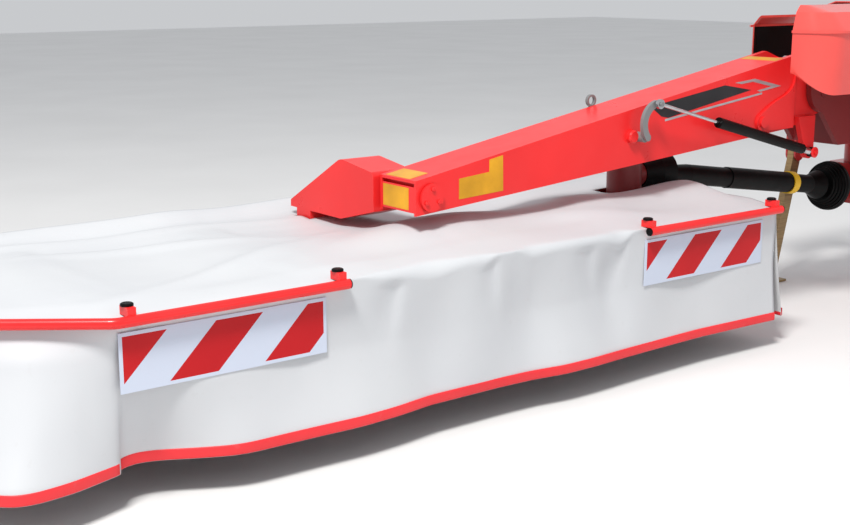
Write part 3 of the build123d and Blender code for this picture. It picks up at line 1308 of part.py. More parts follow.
# Drive shaft guards
with BuildPart() as shaft_cone:
    with BuildSketch(Plane(origin=SHAFT_START, x_dir=SHAFT_PLANE.z_dir, z_dir=(0, -1, 0))):
        with BuildLine():
            Polyline(
                (-CONE_BACK, CONE_BACK_RADIUS),
                (CONE_BACK, CONE_BACK_RADIUS),
                (CONE_FRONT, CONE_FRONT_RADIUS),
                (CONE_FRONT, CONE_MOUTH_RADIUS),
                (CONE_FRONT - GUARD_WALL, CONE_MOUTH_RADIUS),
                (CONE_FRONT - GUARD_WALL, CONE_FRONT_RADIUS - GUARD_WALL),
                (CONE_BACK, CONE_BACK_RADIUS - GUARD_WALL),
                (-CONE_BACK, CONE_BACK_RADIUS - GUARD_WALL),
                close=True,
            )
        make_face()
    revolve(axis=Axis(SHAFT_START, SHAFT_PLANE.z_dir))
    for rib in range(1, CONE_RIB_COUNT + 1):
        rib_reach = CONE_BACK + rib * CONE_RIB_PITCH
        rib_radius = CONE_BACK_RADIUS - (rib_reach - CONE_BACK) * CONE_TAPER
        with BuildSketch(SHAFT_PLANE.offset(rib_reach - CONE_RIB_WIDTH / 2)):
            Circle(rib_radius + CONE_RIB_HEIGHT)
            Circle(rib_radius - GUARD_WALL / 2, mode=Mode.SUBTRACT)
        extrude(amount=CONE_RIB_WIDTH)
    with BuildSketch(upright(DISC_Y - CONE_BACK_RADIUS + GUARD_WALL / 2)):
        with Locations((KING_X, BOX_Z)):
            Circle(CROSS_PIN_RADIUS)
    extrude(amount=-(2 * CONE_BACK_RADIUS - GUARD_WALL))
    with Locations(SHAFT_START):
        Sphere(BALL_RADIUS)
write(shaft_cone.part, "shaft_cone")

with BuildPart() as shaft_guard:
    with BuildSketch(Plane(origin=SHAFT_START, x_dir=SHAFT_PLANE.z_dir, z_dir=(0, -1, 0))):
        with BuildLine():
            Polyline(
                (BALL_RADIUS + FIT, 0),
                (BALL_RADIUS + FIT, OUTPUT_RADIUS),
                (FLARE_START, OUTPUT_RADIUS),
                (FLARE_START, FLARE_RADIUS),
                (FLARE_END, GUARD_COLLAR_RADIUS),
                (RING_START, GUARD_COLLAR_RADIUS),
                (RING_START, OUTER_GUARD_RADIUS),
                (OUTER_GUARD_END, OUTER_GUARD_RADIUS),
                (OUTER_GUARD_END, INNER_GUARD_RADIUS),
                (SHAFT_SPAN - INNER_GUARD_GAP, INNER_GUARD_RADIUS),
                (SHAFT_SPAN - INNER_GUARD_GAP, 0),
                close=True,
            )
        make_face()
    revolve(axis=Axis(SHAFT_START, SHAFT_PLANE.z_dir))
write(shaft_guard.part, "shaft_guard")

with BuildPart() as guard_ring:
    with BuildSketch(SHAFT_PLANE.offset(RING_START)):
        Circle(RING_RADIUS)
        Circle(OUTER_GUARD_RADIUS + FIT, mode=Mode.SUBTRACT)
    extrude(amount=RING_WIDTH)
write(guard_ring.part, "guard_ring")

# Latch strut with its bracket on the arm's heel
strut_plate_front = ARM_FRONT_Y - STRUT_PLATE_THICK
with BuildPart() as strut_bracket:
    with BuildSketch(upright(ARM_FRONT_Y)):
        with BuildLine():
            Polyline(
                (STRUT_BASE_X - STRUT_PLATE_RADIUS, STRUT_BASE_Z),
                (STRUT_BASE_X - STRUT_PLATE_REACH, STRUT_BASE_Z + STRUT_PLATE_RISE),
                (STRUT_BASE_X + STRUT_PLATE_RADIUS, STRUT_BASE_Z + STRUT_PLATE_RISE),
                (STRUT_BASE_X + STRUT_PLATE_RADIUS, STRUT_BASE_Z),
                close=True,
            )
        make_face()
        with Locations((STRUT_BASE_X, STRUT_BASE_Z)):
            Circle(STRUT_PLATE_RADIUS)
    extrude(amount=STRUT_PLATE_THICK)
    with BuildSketch(upright(strut_plate_front)):
        with Locations((STRUT_BASE_X, STRUT_BASE_Z)):
            Circle(STRUT_PIN_RADIUS)
    extrude(amount=strut_plate_front - STRUT_BASE_Y + STRUT_EYE_WIDTH)
write(strut_bracket.part, "strut_bracket")

with BuildPart() as strut_tube:
    with BuildSketch(upright(STRUT_BASE_Y - STRUT_EYE_WIDTH / 2)):
        with Locations((STRUT_BASE_X, STRUT_BASE_Z)):
            Circle(STRUT_EYE_RADIUS)
    extrude(amount=-STRUT_EYE_WIDTH)
    with BuildSketch(STRUT_PLANE):
        Circle(STRUT_NECK_RADIUS)
    extrude(amount=STRUT_TUBE_START)
    with BuildSketch(STRUT_PLANE.offset(STRUT_TUBE_START)):
        Circle(STRUT_TUBE_RADIUS)
    extrude(amount=STRUT_TUBE_END - STRUT_TUBE_START)
    with BuildSketch(STRUT_PLANE.offset(STRUT_TUBE_START + STRUT_TUBE_RADIUS)):
        Circle(STRUT_ROD_RADIUS + FIT)
    extrude(amount=STRUT_TUBE_END, mode=Mode.SUBTRACT)
    with BuildSketch(upright(STRUT_BASE_Y - STRUT_EYE_WIDTH)):
        with Locations((STRUT_BASE_X, STRUT_BASE_Z)):
            Circle(STRUT_PIN_RADIUS + FIT)
    extrude(amount=-2 * STRUT_EYE_WIDTH, mode=Mode.SUBTRACT)
write(strut_tube.part, "strut_tube")

with BuildPart() as strut_rod:
    with BuildSketch(STRUT_PLANE.offset(STRUT_ROD_START)):
        Circle(STRUT_ROD_RADIUS)
    extrude(amount=STRUT_SPAN - STRUT_ROD_START - (STRUT_RING_RADIUS + STRUT_RING_HOLE) / 2)
    with BuildSketch(upright(STRUT_TIP.Y - STRUT_RING_WIDTH / 2)):
        with Locations((STRUT_TIP.X, STRUT_TIP.Z)):
            Circle(STRUT_RING_RADIUS)
            Circle(STRUT_RING_HOLE, mode=Mode.SUBTRACT)
    extrude(amount=-STRUT_RING_WIDTH)
write(strut_rod.part, "strut_rod")

# Parking leg, leaning out to its stop
leg_foot = Vector(LEG_PIVOT_X - LEG_LEAN, LEG_Y, FOOT_THICK)
leg_top = Vector(LEG_PIVOT_X, LEG_Y, LEG_PIVOT_Z)
leg_plane = Plane(origin=leg_top, x_dir=(0, 1, 0), z_dir=leg_foot - leg_top)
with BuildPart() as parking_leg:
    with BuildSketch(leg_plane):
        Rectangle(LEG_THICK, LEG_WIDTH)
    extrude(amount=(leg_foot - leg_top).length)
    with BuildSketch(upright(LEG_Y - LEG_THICK / 2)):
        with Locations((LEG_PIVOT_X, LEG_PIVOT_Z)):
            Circle(LEG_EYE_RADIUS)
    extrude(amount=-LEG_THICK)
    with BuildSketch(Plane.XY):
        with Locations((leg_foot.X, LEG_Y)):
            Rectangle(FOOT_LENGTH, FOOT_WIDTH)
    extrude(amount=FOOT_THICK)
    with BuildSketch(upright(LEG_Y - LEG_THICK)):
        with Locations((LEG_PIVOT_X, LEG_PIVOT_Z)):
            Circle(LEG_PIN_RADIUS + FIT)
    extrude(amount=-2 * LEG_THICK, mode=Mode.SUBTRACT)
write(parking_leg.part, "parking_leg")
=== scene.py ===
from math import cos, pi, radians, sin, tan

import bpy
import numpy as np
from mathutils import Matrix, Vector


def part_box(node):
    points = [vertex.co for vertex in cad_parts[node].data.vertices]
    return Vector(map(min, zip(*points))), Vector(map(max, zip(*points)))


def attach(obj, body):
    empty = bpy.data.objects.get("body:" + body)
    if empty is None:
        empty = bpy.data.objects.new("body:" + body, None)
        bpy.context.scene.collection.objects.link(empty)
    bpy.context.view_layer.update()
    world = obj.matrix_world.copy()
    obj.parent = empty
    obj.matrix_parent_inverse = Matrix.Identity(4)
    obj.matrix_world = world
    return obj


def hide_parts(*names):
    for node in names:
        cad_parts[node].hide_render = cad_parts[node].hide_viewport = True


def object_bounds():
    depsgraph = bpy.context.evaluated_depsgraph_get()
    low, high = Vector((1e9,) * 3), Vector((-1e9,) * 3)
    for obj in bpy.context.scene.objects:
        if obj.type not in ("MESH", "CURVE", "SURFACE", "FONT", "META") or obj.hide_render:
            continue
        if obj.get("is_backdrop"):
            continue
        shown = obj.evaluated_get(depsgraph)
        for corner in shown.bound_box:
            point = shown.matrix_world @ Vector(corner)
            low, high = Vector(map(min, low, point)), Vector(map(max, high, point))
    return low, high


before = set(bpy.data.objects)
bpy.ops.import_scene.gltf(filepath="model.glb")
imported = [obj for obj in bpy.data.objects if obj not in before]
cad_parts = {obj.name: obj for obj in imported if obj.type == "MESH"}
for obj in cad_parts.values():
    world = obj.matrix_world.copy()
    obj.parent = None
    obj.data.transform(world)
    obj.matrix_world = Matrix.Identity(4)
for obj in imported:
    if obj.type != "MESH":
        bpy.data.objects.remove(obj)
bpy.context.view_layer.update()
scene = bpy.context.scene

DISCS = 7

# Materials
COAT_ROUGH = 0.12
DUST, SOIL = (0.55, 0.47, 0.42, 1), (0.35, 0.33, 0.30, 1)
SOIL_FROM, SOIL_AMOUNT = 0.68, 0.05
SCRATCH = (1, 1, 12)
SMOOTH_ANGLE = radians(32)


class Mat:
    """A principled material with a short way to add procedural nodes."""

    def __init__(self, name, rough=0.5, metal=0.0, coat=0.0, shine=0.5):
        self.mat = bpy.data.materials.new(name)
        self.mat.use_nodes = True
        self.tree = self.mat.node_tree
        self.shader = self.tree.nodes["Principled BSDF"]
        self.shader.inputs["Roughness"].default_value = rough
        self.shader.inputs["Metallic"].default_value = metal
        self.shader.inputs["Coat Weight"].default_value = coat
        self.shader.inputs["Specular IOR Level"].default_value = shine
        self.coords = self.tree.nodes.new("ShaderNodeTexCoord").outputs["Object"]

    def node(self, kind, **values):
        made = self.tree.nodes.new(kind)
        for key, value in values.items():
            setattr(made, key, value)
        return made

    def link(self, out, socket):
        self.tree.links.new(out, socket)

    def feed(self, *pairs):
        """Links each node output to its socket, or sets the socket to a plain value."""
        for value, socket in pairs:
            if hasattr(value, "links"):
                self.link(value, socket)
            else:
                socket.default_value = value

    def noise(self, scale, detail=3.0, stretch=(1, 1, 1)):
        mapping = self.node("ShaderNodeMapping")
        mapping.inputs["Scale"].default_value = stretch
        self.link(self.coords, mapping.inputs["Vector"])
        made = self.node("ShaderNodeTexNoise")
        made.inputs["Scale"].default_value = scale
        made.inputs["Detail"].default_value = detail
        self.link(mapping.outputs["Vector"], made.inputs["Vector"])
        return made.outputs["Fac"]

    def ramp(self, fac, stops):
        made = self.node("ShaderNodeValToRGB")
        ends = made.color_ramp.elements
        while len(ends) < len(stops):
            ends.new(0.5)
        for end, (place, colour) in zip(ends, stops):
            end.position = place
            end.color = (*colour, 1)
        self.link(fac, made.inputs["Fac"])
        return made.outputs["Color"]

    def mix(self, fac, first, second):
        made = self.node("ShaderNodeMix", data_type="RGBA")
        self.feed((fac, made.inputs[0]), (first, made.inputs[6]), (second, made.inputs[7]))
        return made.outputs[2]

    def math(self, kind, first, second=0.0):
        made = self.node("ShaderNodeMath", operation=kind)
        self.feed((first, made.inputs[0]), (second, made.inputs[1]))
        return made.outputs[0]

    def axes(self):
        made = self.node("ShaderNodeSeparateXYZ")
        self.link(self.coords, made.inputs[0])
        return made.outputs

    def colour(self, out):
        self.link(out, self.shader.inputs["Base Color"])

    def rough(self, fac, low, high):
        made = self.node("ShaderNodeMapRange")
        made.inputs["To Min"].default_value = low
        made.inputs["To Max"].default_value = high
        self.link(fac, made.inputs["Value"])
        self.link(made.outputs[0], self.shader.inputs["Roughness"])

    def bump(self, fac, strength, distance):
        made = self.node("ShaderNodeBump")
        made.inputs["Strength"].default_value = strength
        made.inputs["Distance"].default_value = distance
        self.link(fac, made.inputs["Height"])
        self.link(made.outputs[0], self.shader.inputs["Normal"])


def paint(name, base, rough=(0.22, 0.38), coat=0.35, dust=0.03, shine=0.5):
    """Sprayed gloss paint with orange peel and a little dust."""
    m = Mat(name, coat=coat, shine=shine)
    m.shader.inputs["Coat Roughness"].default_value = COAT_ROUGH
    dark = tuple(c * 0.86 for c in base)
    tone = m.ramp(m.noise(2.3, 4), [(0.3, dark), (0.7, base)])
    dusty = m.math("MULTIPLY", m.noise(6.0, 6), dust)
    m.colour(m.mix(dusty, tone, DUST))
    m.rough(m.noise(9.0, 5), *rough)
    m.bump(m.noise(160, 2), strength=0.05, distance=0.001)
    return m.mat


def metal(name, base, rough=(0.3, 0.5), amount=1.0):
    """Bare or plated steel with fine scratches."""
    m = Mat(name, metal=amount)
    dark = tuple(c * 0.7 for c in base)
    m.colour(m.ramp(m.noise(14, 6, SCRATCH), [(0.3, dark), (0.7, base)]))
    m.rough(m.noise(30, 4, SCRATCH), *rough)
    return m.mat


def plastic(name, base, rough=(0.35, 0.55), shine=0.5):
    """Moulded plastic or printed foil with a fine grain."""
    m = Mat(name, shine=shine)
    light = tuple(min(1, c * 1.5 + 0.002) for c in base)
    m.colour(m.ramp(m.noise(7, 5), [(0.35, base), (0.75, light)]))
    m.rough(m.noise(20, 4), *rough)
    m.bump(m.noise(90, 3), strength=0.08, distance=0.001)
    return m.mat


def cloth(name, base, shade):
    """Coated fabric with faint soiling and a fine weave."""
    m = Mat(name)
    soft = m.ramp(m.noise(1.6, 5), [(0.3, shade), (0.65, base)])
    dirt = m.math("MULTIPLY", m.math("GREATER_THAN", m.noise(38, 8), SOIL_FROM), SOIL_AMOUNT)
    m.colour(m.mix(dirt, soft, SOIL))
    m.rough(m.noise(12, 3), low=0.42, high=0.6)
    m.bump(m.noise(420, 2), strength=0.06, distance=0.0006)
    return m.mat


RED = paint("red paint", (0.84, 0.016, 0.018), coat=0.08, shine=0.3)
# Red paint darkened to about half as painted shade, for the gearbox, yoke and hanger, which lie in shade
RED_HALF_SHADED = paint("red paint with painted shade", (0.42, 0.010, 0.012))
# Red paint darkened to about a quarter as painted shade, for the turret, fold pin and drive head in the
# shade under the headstock cover and arm
RED_DEEP_SHADED = paint("red paint with deep painted shade", (0.20, 0.006, 0.008), rough=(0.4, 0.55), coat=0.1)
COVER_RED = paint("cover red", (0.86, 0.085, 0.070), rough=(0.10, 0.2), coat=0.8, dust=0.01)
STEEL = metal("worn steel", (0.42, 0.41, 0.40))
CHROME = metal("chrome", (0.72, 0.73, 0.75), rough=(0.08, 0.18))
GREY = paint("grey paint", (0.20, 0.205, 0.21), coat=0.1, shine=0.3)
TAN = metal("passivated steel", (0.40, 0.27, 0.13), rough=(0.35, 0.55), amount=0.6)
BLACK = plastic("black plastic", (0.002, 0.002, 0.002), shine=0.12)
YELLOW = plastic("yellow plastic", (0.72, 0.42, 0.01))
CAST = paint("painted casting", (0.10, 0.012, 0.012), rough=(0.5, 0.7), coat=0.0, dust=0.3)
WHITE = cloth("white cover", (0.545, 0.56, 0.58), (0.505, 0.52, 0.545))
# The cover's white fabric, painted a little darker as shade on the hung curtains
CURTAIN_SHADED_WHITE = cloth("white curtain with painted shade", (0.51, 0.52, 0.53), (0.475, 0.485, 0.495))
HEM = cloth("red hem", (0.76, 0.022, 0.030), (0.66, 0.018, 0.025))
STICKER = plastic("yellow sticker", (0.52, 0.25, 0.008), rough=(0.25, 0.35), shine=0.3)
BAND = plastic("dark band", (0.014, 0.014, 0.016), rough=(0.25, 0.4), shine=0.3)
SILVER = metal("silver foil", (0.60, 0.60, 0.62), rough=(0.25, 0.4), amount=0.7)

NODE_MATERIALS = {
    RED: ["cross_tube", "mast", "strut_bracket", "arm", "tilt_pin", "pivot_bracket", "rear_beam",
          "end_supports", "cover_carriers", "swath_board", "guard_tube_outer", "guard_tube_inner",
          "guard_tube_rear"],
    RED_HALF_SHADED: ["headstock_gearbox", "yoke", "hanger"],
    RED_DEEP_SHADED: ["turret", "fold_pin", "drive_head"],
    COVER_RED: ["headstock_cover"],
    STEEL: ["king_pin", "hitch_pins", "input_shaft", "skid_shoes", *[f"disc_{k + 1}" for k in range(DISCS)]],
    CHROME: ["cylinder_rod", "strut_rod"],
    GREY: ["latch_lever", "hose_guide"],
    TAN: ["parking_leg"],
    BLACK: ["cylinder_barrel", "drive_bell", "shaft_cone", "shaft_guard", "strut_tube"],
    YELLOW: ["guard_ring"],
    CAST: ["cutterbar_case"],
    WHITE: ["cover_top"],
    CURTAIN_SHADED_WHITE: ["curtain_front", "curtain_corner", "curtain_outer", "curtain_rear_corner", "curtain_rear",
              "curtain_inner"],
    HEM: ["hems"],
}

# Striped panels: where they stand, and their slanted bars
PANEL_MIDDLES, PANEL_HALF = (-1.820, 0.300), 0.345
PANEL_LOW, PANEL_HIGH, PANEL_BORDER = 0.376, 0.553, 0.011
BAR_PITCH, BAR_SHARE, OUTER_BAR, INNER_BAR = 0.316, 0.5, -2.400, -0.309
PITCHES_ADDED = 20.0  # keeps the count of pitches above zero
PANEL_WHITE, PANEL_REDS = (0.52, 0.57, 0.68, 1), ((0.43, 0.005, 0.009), (0.50, 0.008, 0.012))


def stripes():
    """Pale reflective panel with slanted red bars inside a plain border."""
    m = Mat("striped panel", shine=0.2)
    x, _, z = m.axes()[:3]
    inner = m.math("GREATER_THAN", x, sum(PANEL_MIDDLES) / 2)
    start = m.math("ADD", OUTER_BAR, m.math("MULTIPLY", inner, INNER_BAR - OUTER_BAR))
    along = m.math("DIVIDE", m.math("SUBTRACT", m.math("SUBTRACT", x, z), start), BAR_PITCH)
    bars = m.math("LESS_THAN", m.math("FRACT", m.math("ADD", along, PITCHES_ADDED)), BAR_SHARE)
    off = [m.math("ABSOLUTE", m.math("SUBTRACT", x, middle)) for middle in PANEL_MIDDLES]
    within = m.math("LESS_THAN", m.math("MINIMUM", *off), PANEL_HALF - PANEL_BORDER)
    height = m.math("ABSOLUTE", m.math("SUBTRACT", z, (PANEL_LOW + PANEL_HIGH) / 2))
    inside = m.math("LESS_THAN", height, (PANEL_HIGH - PANEL_LOW) / 2 - PANEL_BORDER)
    shown = m.math("MULTIPLY", bars, m.math("MULTIPLY", within, inside))
    fade = m.ramp(m.noise(3, 5), list(zip((0.3, 0.7), PANEL_REDS)))
    m.colour(m.mix(shown, PANEL_WHITE, fade))
    m.rough(m.noise(60, 2), low=0.3, high=0.45)
    return m.mat


NODE_MATERIALS[stripes()] = ["warning_panels"]
for material, names in NODE_MATERIALS.items():
    for name in names:
        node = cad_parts[name]
        node.data.materials.clear()
        node.data.materials.append(material)
        node.data.polygons.foreach_set("use_smooth", [True] * len(node.data.polygons))
        node.data.set_sharp_from_angle(angle=SMOOTH_ANGLE)

# Fabric: the cover's plan, in metres
INNER_X, OUTER_X = 0.730, -2.590
FRONT_Y, REAR_Y = -0.430, 0.810
DEPTH = REAR_Y - FRONT_Y
CORNER = (-2.170, FRONT_Y)
CHAMFER_END = (OUTER_X, -0.124)
REAR_CUT = 0.130
EDGE_Z, TOP_Z, SLOPE = 0.597, 0.615, 0.130
CARRIERS = (-2.130, -1.425, -0.726, -0.027, 0.704)
CLAMPED, UNCLAMPED = 0.03, 0.12  # distances from a carrier
SHEET = 0.003
SINK = 0.002  # how far the sheet's middle lies inside the cover's plain form
BEND_POINTS = 12
FRONT_BEND, FRONT_STEP = 0.06, 0.014
HUNG_BEND, HUNG_STEP = 0.05, 0.016
HEM_LOW, HEM_TOP, HEM_HALF, HEM_LAP = 0.110, 0.145, 0.0050, 0.012
HEM_SIDES, HEM_POWER = 12, 0.5

# Top sheet: slack, creases, the loose roll along the back and the lift under and behind the arm
SAG_DEPTH, SAG_SPAN = 0.016, 0.6
CREASES = (  # height, y, slant, x at that y, width, middle x, reach in x
    (0.017, 0.10, -0.45, -1.2, 0.05, -1.6, 0.5),
    (0.015, 0.30, 0.25, -1.6, 0.04, -1.7, 0.45),
    (-0.012, 0.46, 0.12, -1.9, 0.045, -1.8, 0.6),
    (0.018, 0.56, 0.06, -1.7, 0.035, -1.7, 0.7),
    (-0.008, -0.05, -0.15, -0.3, 0.09, -0.3, 0.4),
    (0.010, -0.20, 0.35, -0.2, 0.05, -0.2, 0.4),
)
RIPPLE, RIPPLE_RATES = 0.004, ((9.0, 3.0), (-2.0, 4.0))  # radians a metre in x and y
EDGE_TAUT, EDGE_SLACK = 0.02, 0.22  # distances from the front and back edges
ROLL_HEIGHT, ROLL_Y, ROLL_WIDTH, ROLL_END_Y = 0.040, 0.712, 0.042, 0.776
ROLL_WAVES = ((0.12, 6.5, 0.6),)  # height, radians a metre, start
ROLL_CREST, ROLL_CREST_WIDTH = 0.2, 0.15
ROLL_ENDS = (0.02, 0.20)  # distances from the inner and outer edges
LIFTS = (  # height, x where it starts, x where it is full, middle y, width
    (0.055, -1.30, -0.85, -0.06, 0.17),
    (0.032, -0.30, 0.30, 0.36, 0.17),
)
LIFT_END = 0.12
TOP_ROWS = 56
EDGE_ROWS = (0.0012, 0.0045, 0.0095, 0.016, 0.033)  # more rows, by distance from the front edge
NOTCH_X, NOTCH_Y = 0.335, (0.045, 0.235)  # cut-out for the drive shaft
HOLE_X, HOLE_HALF, HOLE_Y = -0.865, 0.092, (0.465, 0.575)  # cut-out for the pivot bracket

# Front drop: places are runs along the front edge from the corner, above zero towards the inner end
FREE_EDGE, FREE_SPAN = 0.030, (0.80, 0.92)  # radius, distances from the corner and the inner end
EDGE_PLAIN, EDGE_DENTS = 0.6, ((0.8, 1.12, 0.10), (0.7, 2.02, 0.08), (0.4, 1.5, 0.2))  # depth, place, width
SWAY = (  # place, how far the hem stands out
    (-0.52, 0.000), (-0.46, 0.060), (-0.40, 0.120), (-0.34, 0.165), (-0.28, 0.186), (-0.22, 0.178),
    (-0.18, 0.149), (-0.14, 0.115), (-0.10, 0.077), (-0.055, 0.010), (-0.012, -0.055), (0.03, -0.085),
    (0.07, -0.102), (0.115, -0.097), (0.157, -0.081), (0.20, -0.058), (0.24, -0.034), (0.283, -0.013),
    (0.326, 0.009), (0.37, 0.024), (0.41, 0.030), (0.65, 0.037), (0.80, 0.043), (0.945, 0.033),
    (1.10, 0.009), (1.40, 0.006), (1.55, 0.012), (1.70, 0.034), (1.85, 0.033), (2.00, 0.023),
    (2.15, 0.015), (2.45, 0.005), (2.75, 0.014), (2.89, 0.020),
)
SWAY_BLUR = 5
STRAIGHT = (0.05, 0.30)  # places between which the corner's roll gives way to the plain drop
ROLLED_FROM, ROLLED_POWER = 0.15, 1.5  # growth of the sway down the corner's roll
HUNG_FROM, HUNG_POWER = 0.49, 1.3  # and down the plain drop
SWAY_FULL = 0.25
HOLLOW, HOLLOWS = 0.016, ((1.15, 0.16), (1.98, 0.10), (2.35, 0.2))  # place, width
BILLOW, BILLOW_PLACE, BILLOW_REACH = 0.010, 1.5, 0.8
BILLOW_WAVES = ((1.0, 6.2, 0.5), (0.7, 14.0, 2.0))  # height, radians a metre, start
FOLDS = (  # place, lean, width, depth, share of the drop
    (0.98, -0.10, 0.035, 0.013, 0.15),
    (1.38, 0.02, 0.030, 0.011, 0.12),
    (1.55, 0.05, 0.060, 0.008, 0.45),
    (1.84, 0.04, 0.035, 0.012, 0.15),
    (2.02, -0.12, 0.040, 0.013, 0.20),
    (0.62, -0.05, 0.060, 0.007, 0.60),
    (-0.085, 0.0, 0.022, 0.010, 0.75),
)
FOLD_NARROW, FOLD_SKEW, FOLD_REACH, FOLD_FULL = 0.6, 2.8, 0.3, 0.08
PANEL_MARGIN, PANEL_SHARE = 0.03, 0.47  # the sheet stays behind the panels over this share of the drop
HEM_SHARE = 0.92  # from this share of the drop down the sway is full
DROPS = np.concatenate([np.linspace(0.0, 0.10, 8)[1:], np.linspace(0.10, 1, 34)[1:]])


def bell(value, middle, width):
    """Bell curve, 1 at the middle."""
    return np.exp(-(((value - middle) / width) ** 2))


def smooth(value, low, high):
    """Soft step from 0 at low to 1 at high."""
    t = np.clip((value - low) / (high - low), 0, 1)
    return t * t * (3 - 2 * t)


def waves(value, table):
    """Sum of sine waves."""
    return sum(height * np.sin(rate * value + start) for height, rate, start in table)


def between(value, limits):
    """True inside two limits."""
    return (value > limits[0]) & (value < limits[1])


def squared(value):
    """Sine or cosine, pushed from a circle towards a square."""
    return np.sign(value) * abs(value) ** HEM_POWER


def rounded_path(corners, radius, step):
    """Points, outward normals and running length along a line of corners with rounded bends."""
    corners = [np.array(c, float) for c in corners]
    dense = [corners[0]]
    for before, corner, after in zip(corners, corners[1:], corners[2:]):
        a = (before - corner) / np.linalg.norm(before - corner)
        b = (after - corner) / np.linalg.norm(after - corner)
        reach = radius / tan(np.arccos(np.clip(a @ b, -1, 1)) / 2)
        for t in np.linspace(0, 1, BEND_POINTS):
            dense.append(corner + a * reach * (1 - t) ** 2 + b * reach * t**2)
    dense.append(corners[-1])
    dense = np.array(dense)
    gone = np.concatenate([[0], np.cumsum(np.linalg.norm(np.diff(dense, axis=0), axis=1))])
    length = np.linspace(0, gone[-1], int(gone[-1] / step))
    points = np.stack([np.interp(length, gone, dense[:, k]) for k in (0, 1)], 1)
    along = np.gradient(points, axis=0)
    along /= np.linalg.norm(along, axis=1)[:, None]
    return points, np.stack([-along[:, 1], along[:, 0]], 1), length


def ridge(y):
    """Height of the cover's top over its width."""
    edge = np.minimum(y - FRONT_Y, REAR_Y - y)
    return EDGE_Z + (TOP_Z - EDGE_Z) * np.clip(edge / SLOPE, 0, 1)


def grid_mesh(name, points, material, keep=None, thick=SHEET, closed=False):
    """Mesh of a grid of points, [row, column, xyz], with some faces left out and a thickness."""
    rows, columns = points.shape[:2]
    index = np.arange(rows * columns).reshape(rows, columns)
    if closed:
        index = np.vstack([index, index[:1]])
    quads = np.stack([index[:-1, :-1], index[:-1, 1:], index[1:, 1:], index[1:, :-1]], -1)
    quads = quads.reshape(-1, 4) if keep is None else quads[keep]
    mesh = bpy.data.meshes.new(name)
    mesh.from_pydata(points.reshape(-1, 3).tolist(), [], quads.tolist())
    mesh.validate()
    mesh.polygons.foreach_set("use_smooth", [True] * len(mesh.polygons))
    mesh.materials.append(material)
    made = bpy.data.objects.new(name, mesh)
    scene.collection.objects.link(made)
    if thick:
        solid = made.modifiers.new("thickness", "SOLIDIFY")
        solid.thickness = thick
        solid.offset = 0
    return made, sum(p.area for p in mesh.polygons)


def hem_band(name, bottom, normals):
    """Flat rounded strip sewn round the lower edge of a curtain."""
    rounds = []
    for turn in np.linspace(0, 2 * pi, HEM_SIDES, endpoint=False):
        height = (HEM_LOW + HEM_TOP) / 2 + (HEM_TOP - HEM_LOW) / 2 * squared(sin(turn))
        ring = bottom.copy()
        ring[:, :2] += normals * (HEM_HALF * squared(cos(turn)))
        ring[:, 2] += height - HEM_LOW
        rounds.append(ring)
    made, _ = grid_mesh(name, np.array(rounds), HEM, thick=0, closed=True)
    return made


def off_carriers(x):
    """0 over the carriers, rising to 1 between them."""
    return np.prod([smooth(abs(x - carrier), CLAMPED, UNCLAMPED) for carrier in CARRIERS], axis=0)


def cover_sag(x, y):
    """Height of the top sheet over its plain form: slack between carriers, creases, back roll and lift."""
    sag = np.zeros_like(x)
    stops = (OUTER_X, *CARRIERS, INNER_X)
    for first, last in zip(stops, stops[1:]):
        t = np.clip((x - first) / (last - first), 0, 1)
        sag -= SAG_DEPTH * np.sin(pi * t) ** 2 * min(1, (last - first) / SAG_SPAN)
    crease = np.zeros_like(x)
    for height, line_y, slant, line_x, width, middle, reach in CREASES:
        crease += height * bell((y - line_y) + slant * (x - line_x), 0, width) * bell(x, middle, reach)
    crease += RIPPLE * np.prod([np.sin(in_x * x + in_y * y) for in_x, in_y in RIPPLE_RATES], axis=0)
    slack = (sag + crease) * smooth(np.minimum(y - FRONT_Y, REAR_Y - y), EDGE_TAUT, EDGE_SLACK)
    roll = ROLL_HEIGHT * bell(y, ROLL_Y, ROLL_WIDTH) * (y < ROLL_END_Y)
    crest = ROLL_CREST * bell(x, CARRIERS[1], ROLL_CREST_WIDTH)
    roll = roll * (1 + waves(x, ROLL_WAVES) + crest)
    ends = smooth(x, *[OUTER_X + far for far in ROLL_ENDS]) * smooth(INNER_X - x, *ROLL_ENDS)
    lifted = np.zeros_like(x)
    for height, start, full, middle, width in LIFTS:
        over = smooth(x, start, full) * smooth(INNER_X - x, 0.0, LIFT_END)
        lifted += height * over * bell(y, middle, width)
    return np.where(slack < 0, slack * off_carriers(x), slack) + roll * ends + lifted


# Top sheet, run over the front edge and down to the front hem
front, front_out, front_run = rounded_path([(INNER_X, FRONT_Y), CORNER, CHAMFER_END], FRONT_BEND, FRONT_STEP)
front_x, front_y = front.T
corner_run = INNER_X - CORNER[0]
q = corner_run - front_run  # run from the corner
cut_x = OUTER_X + REAR_CUT
rear_y = np.where(front_x < cut_x, REAR_Y - (cut_x - front_x), REAR_Y)
shares = np.linspace(0, 1, TOP_ROWS)
for y in (*NOTCH_Y, *HOLE_Y):
    shares[np.argmin(abs(FRONT_Y + shares * DEPTH - y))] = (y - FRONT_Y) / DEPTH
shares = np.union1d(shares, np.array(EDGE_ROWS) / DEPTH)
free_span = smooth(q, *FREE_SPAN) * smooth(corner_run - q, *FREE_SPAN)
dents = sum((depth * bell(q, place, width) for depth, place, width in EDGE_DENTS), EDGE_PLAIN)
edge_radius = FREE_EDGE * (free_span * off_carriers(front_x) * dents)
rows = []
for share in shares[::-1]:
    y = front_y + share * (rear_y - front_y)
    z = ridge(FRONT_Y + share * DEPTH) + cover_sag(front_x, y) - SINK
    short = np.clip(edge_radius - (y - front_y), 0, None)
    z -= edge_radius - np.sqrt(np.clip(edge_radius**2 - short**2, 0, None))
    rows.append(np.stack([front_x, y, z], 1))

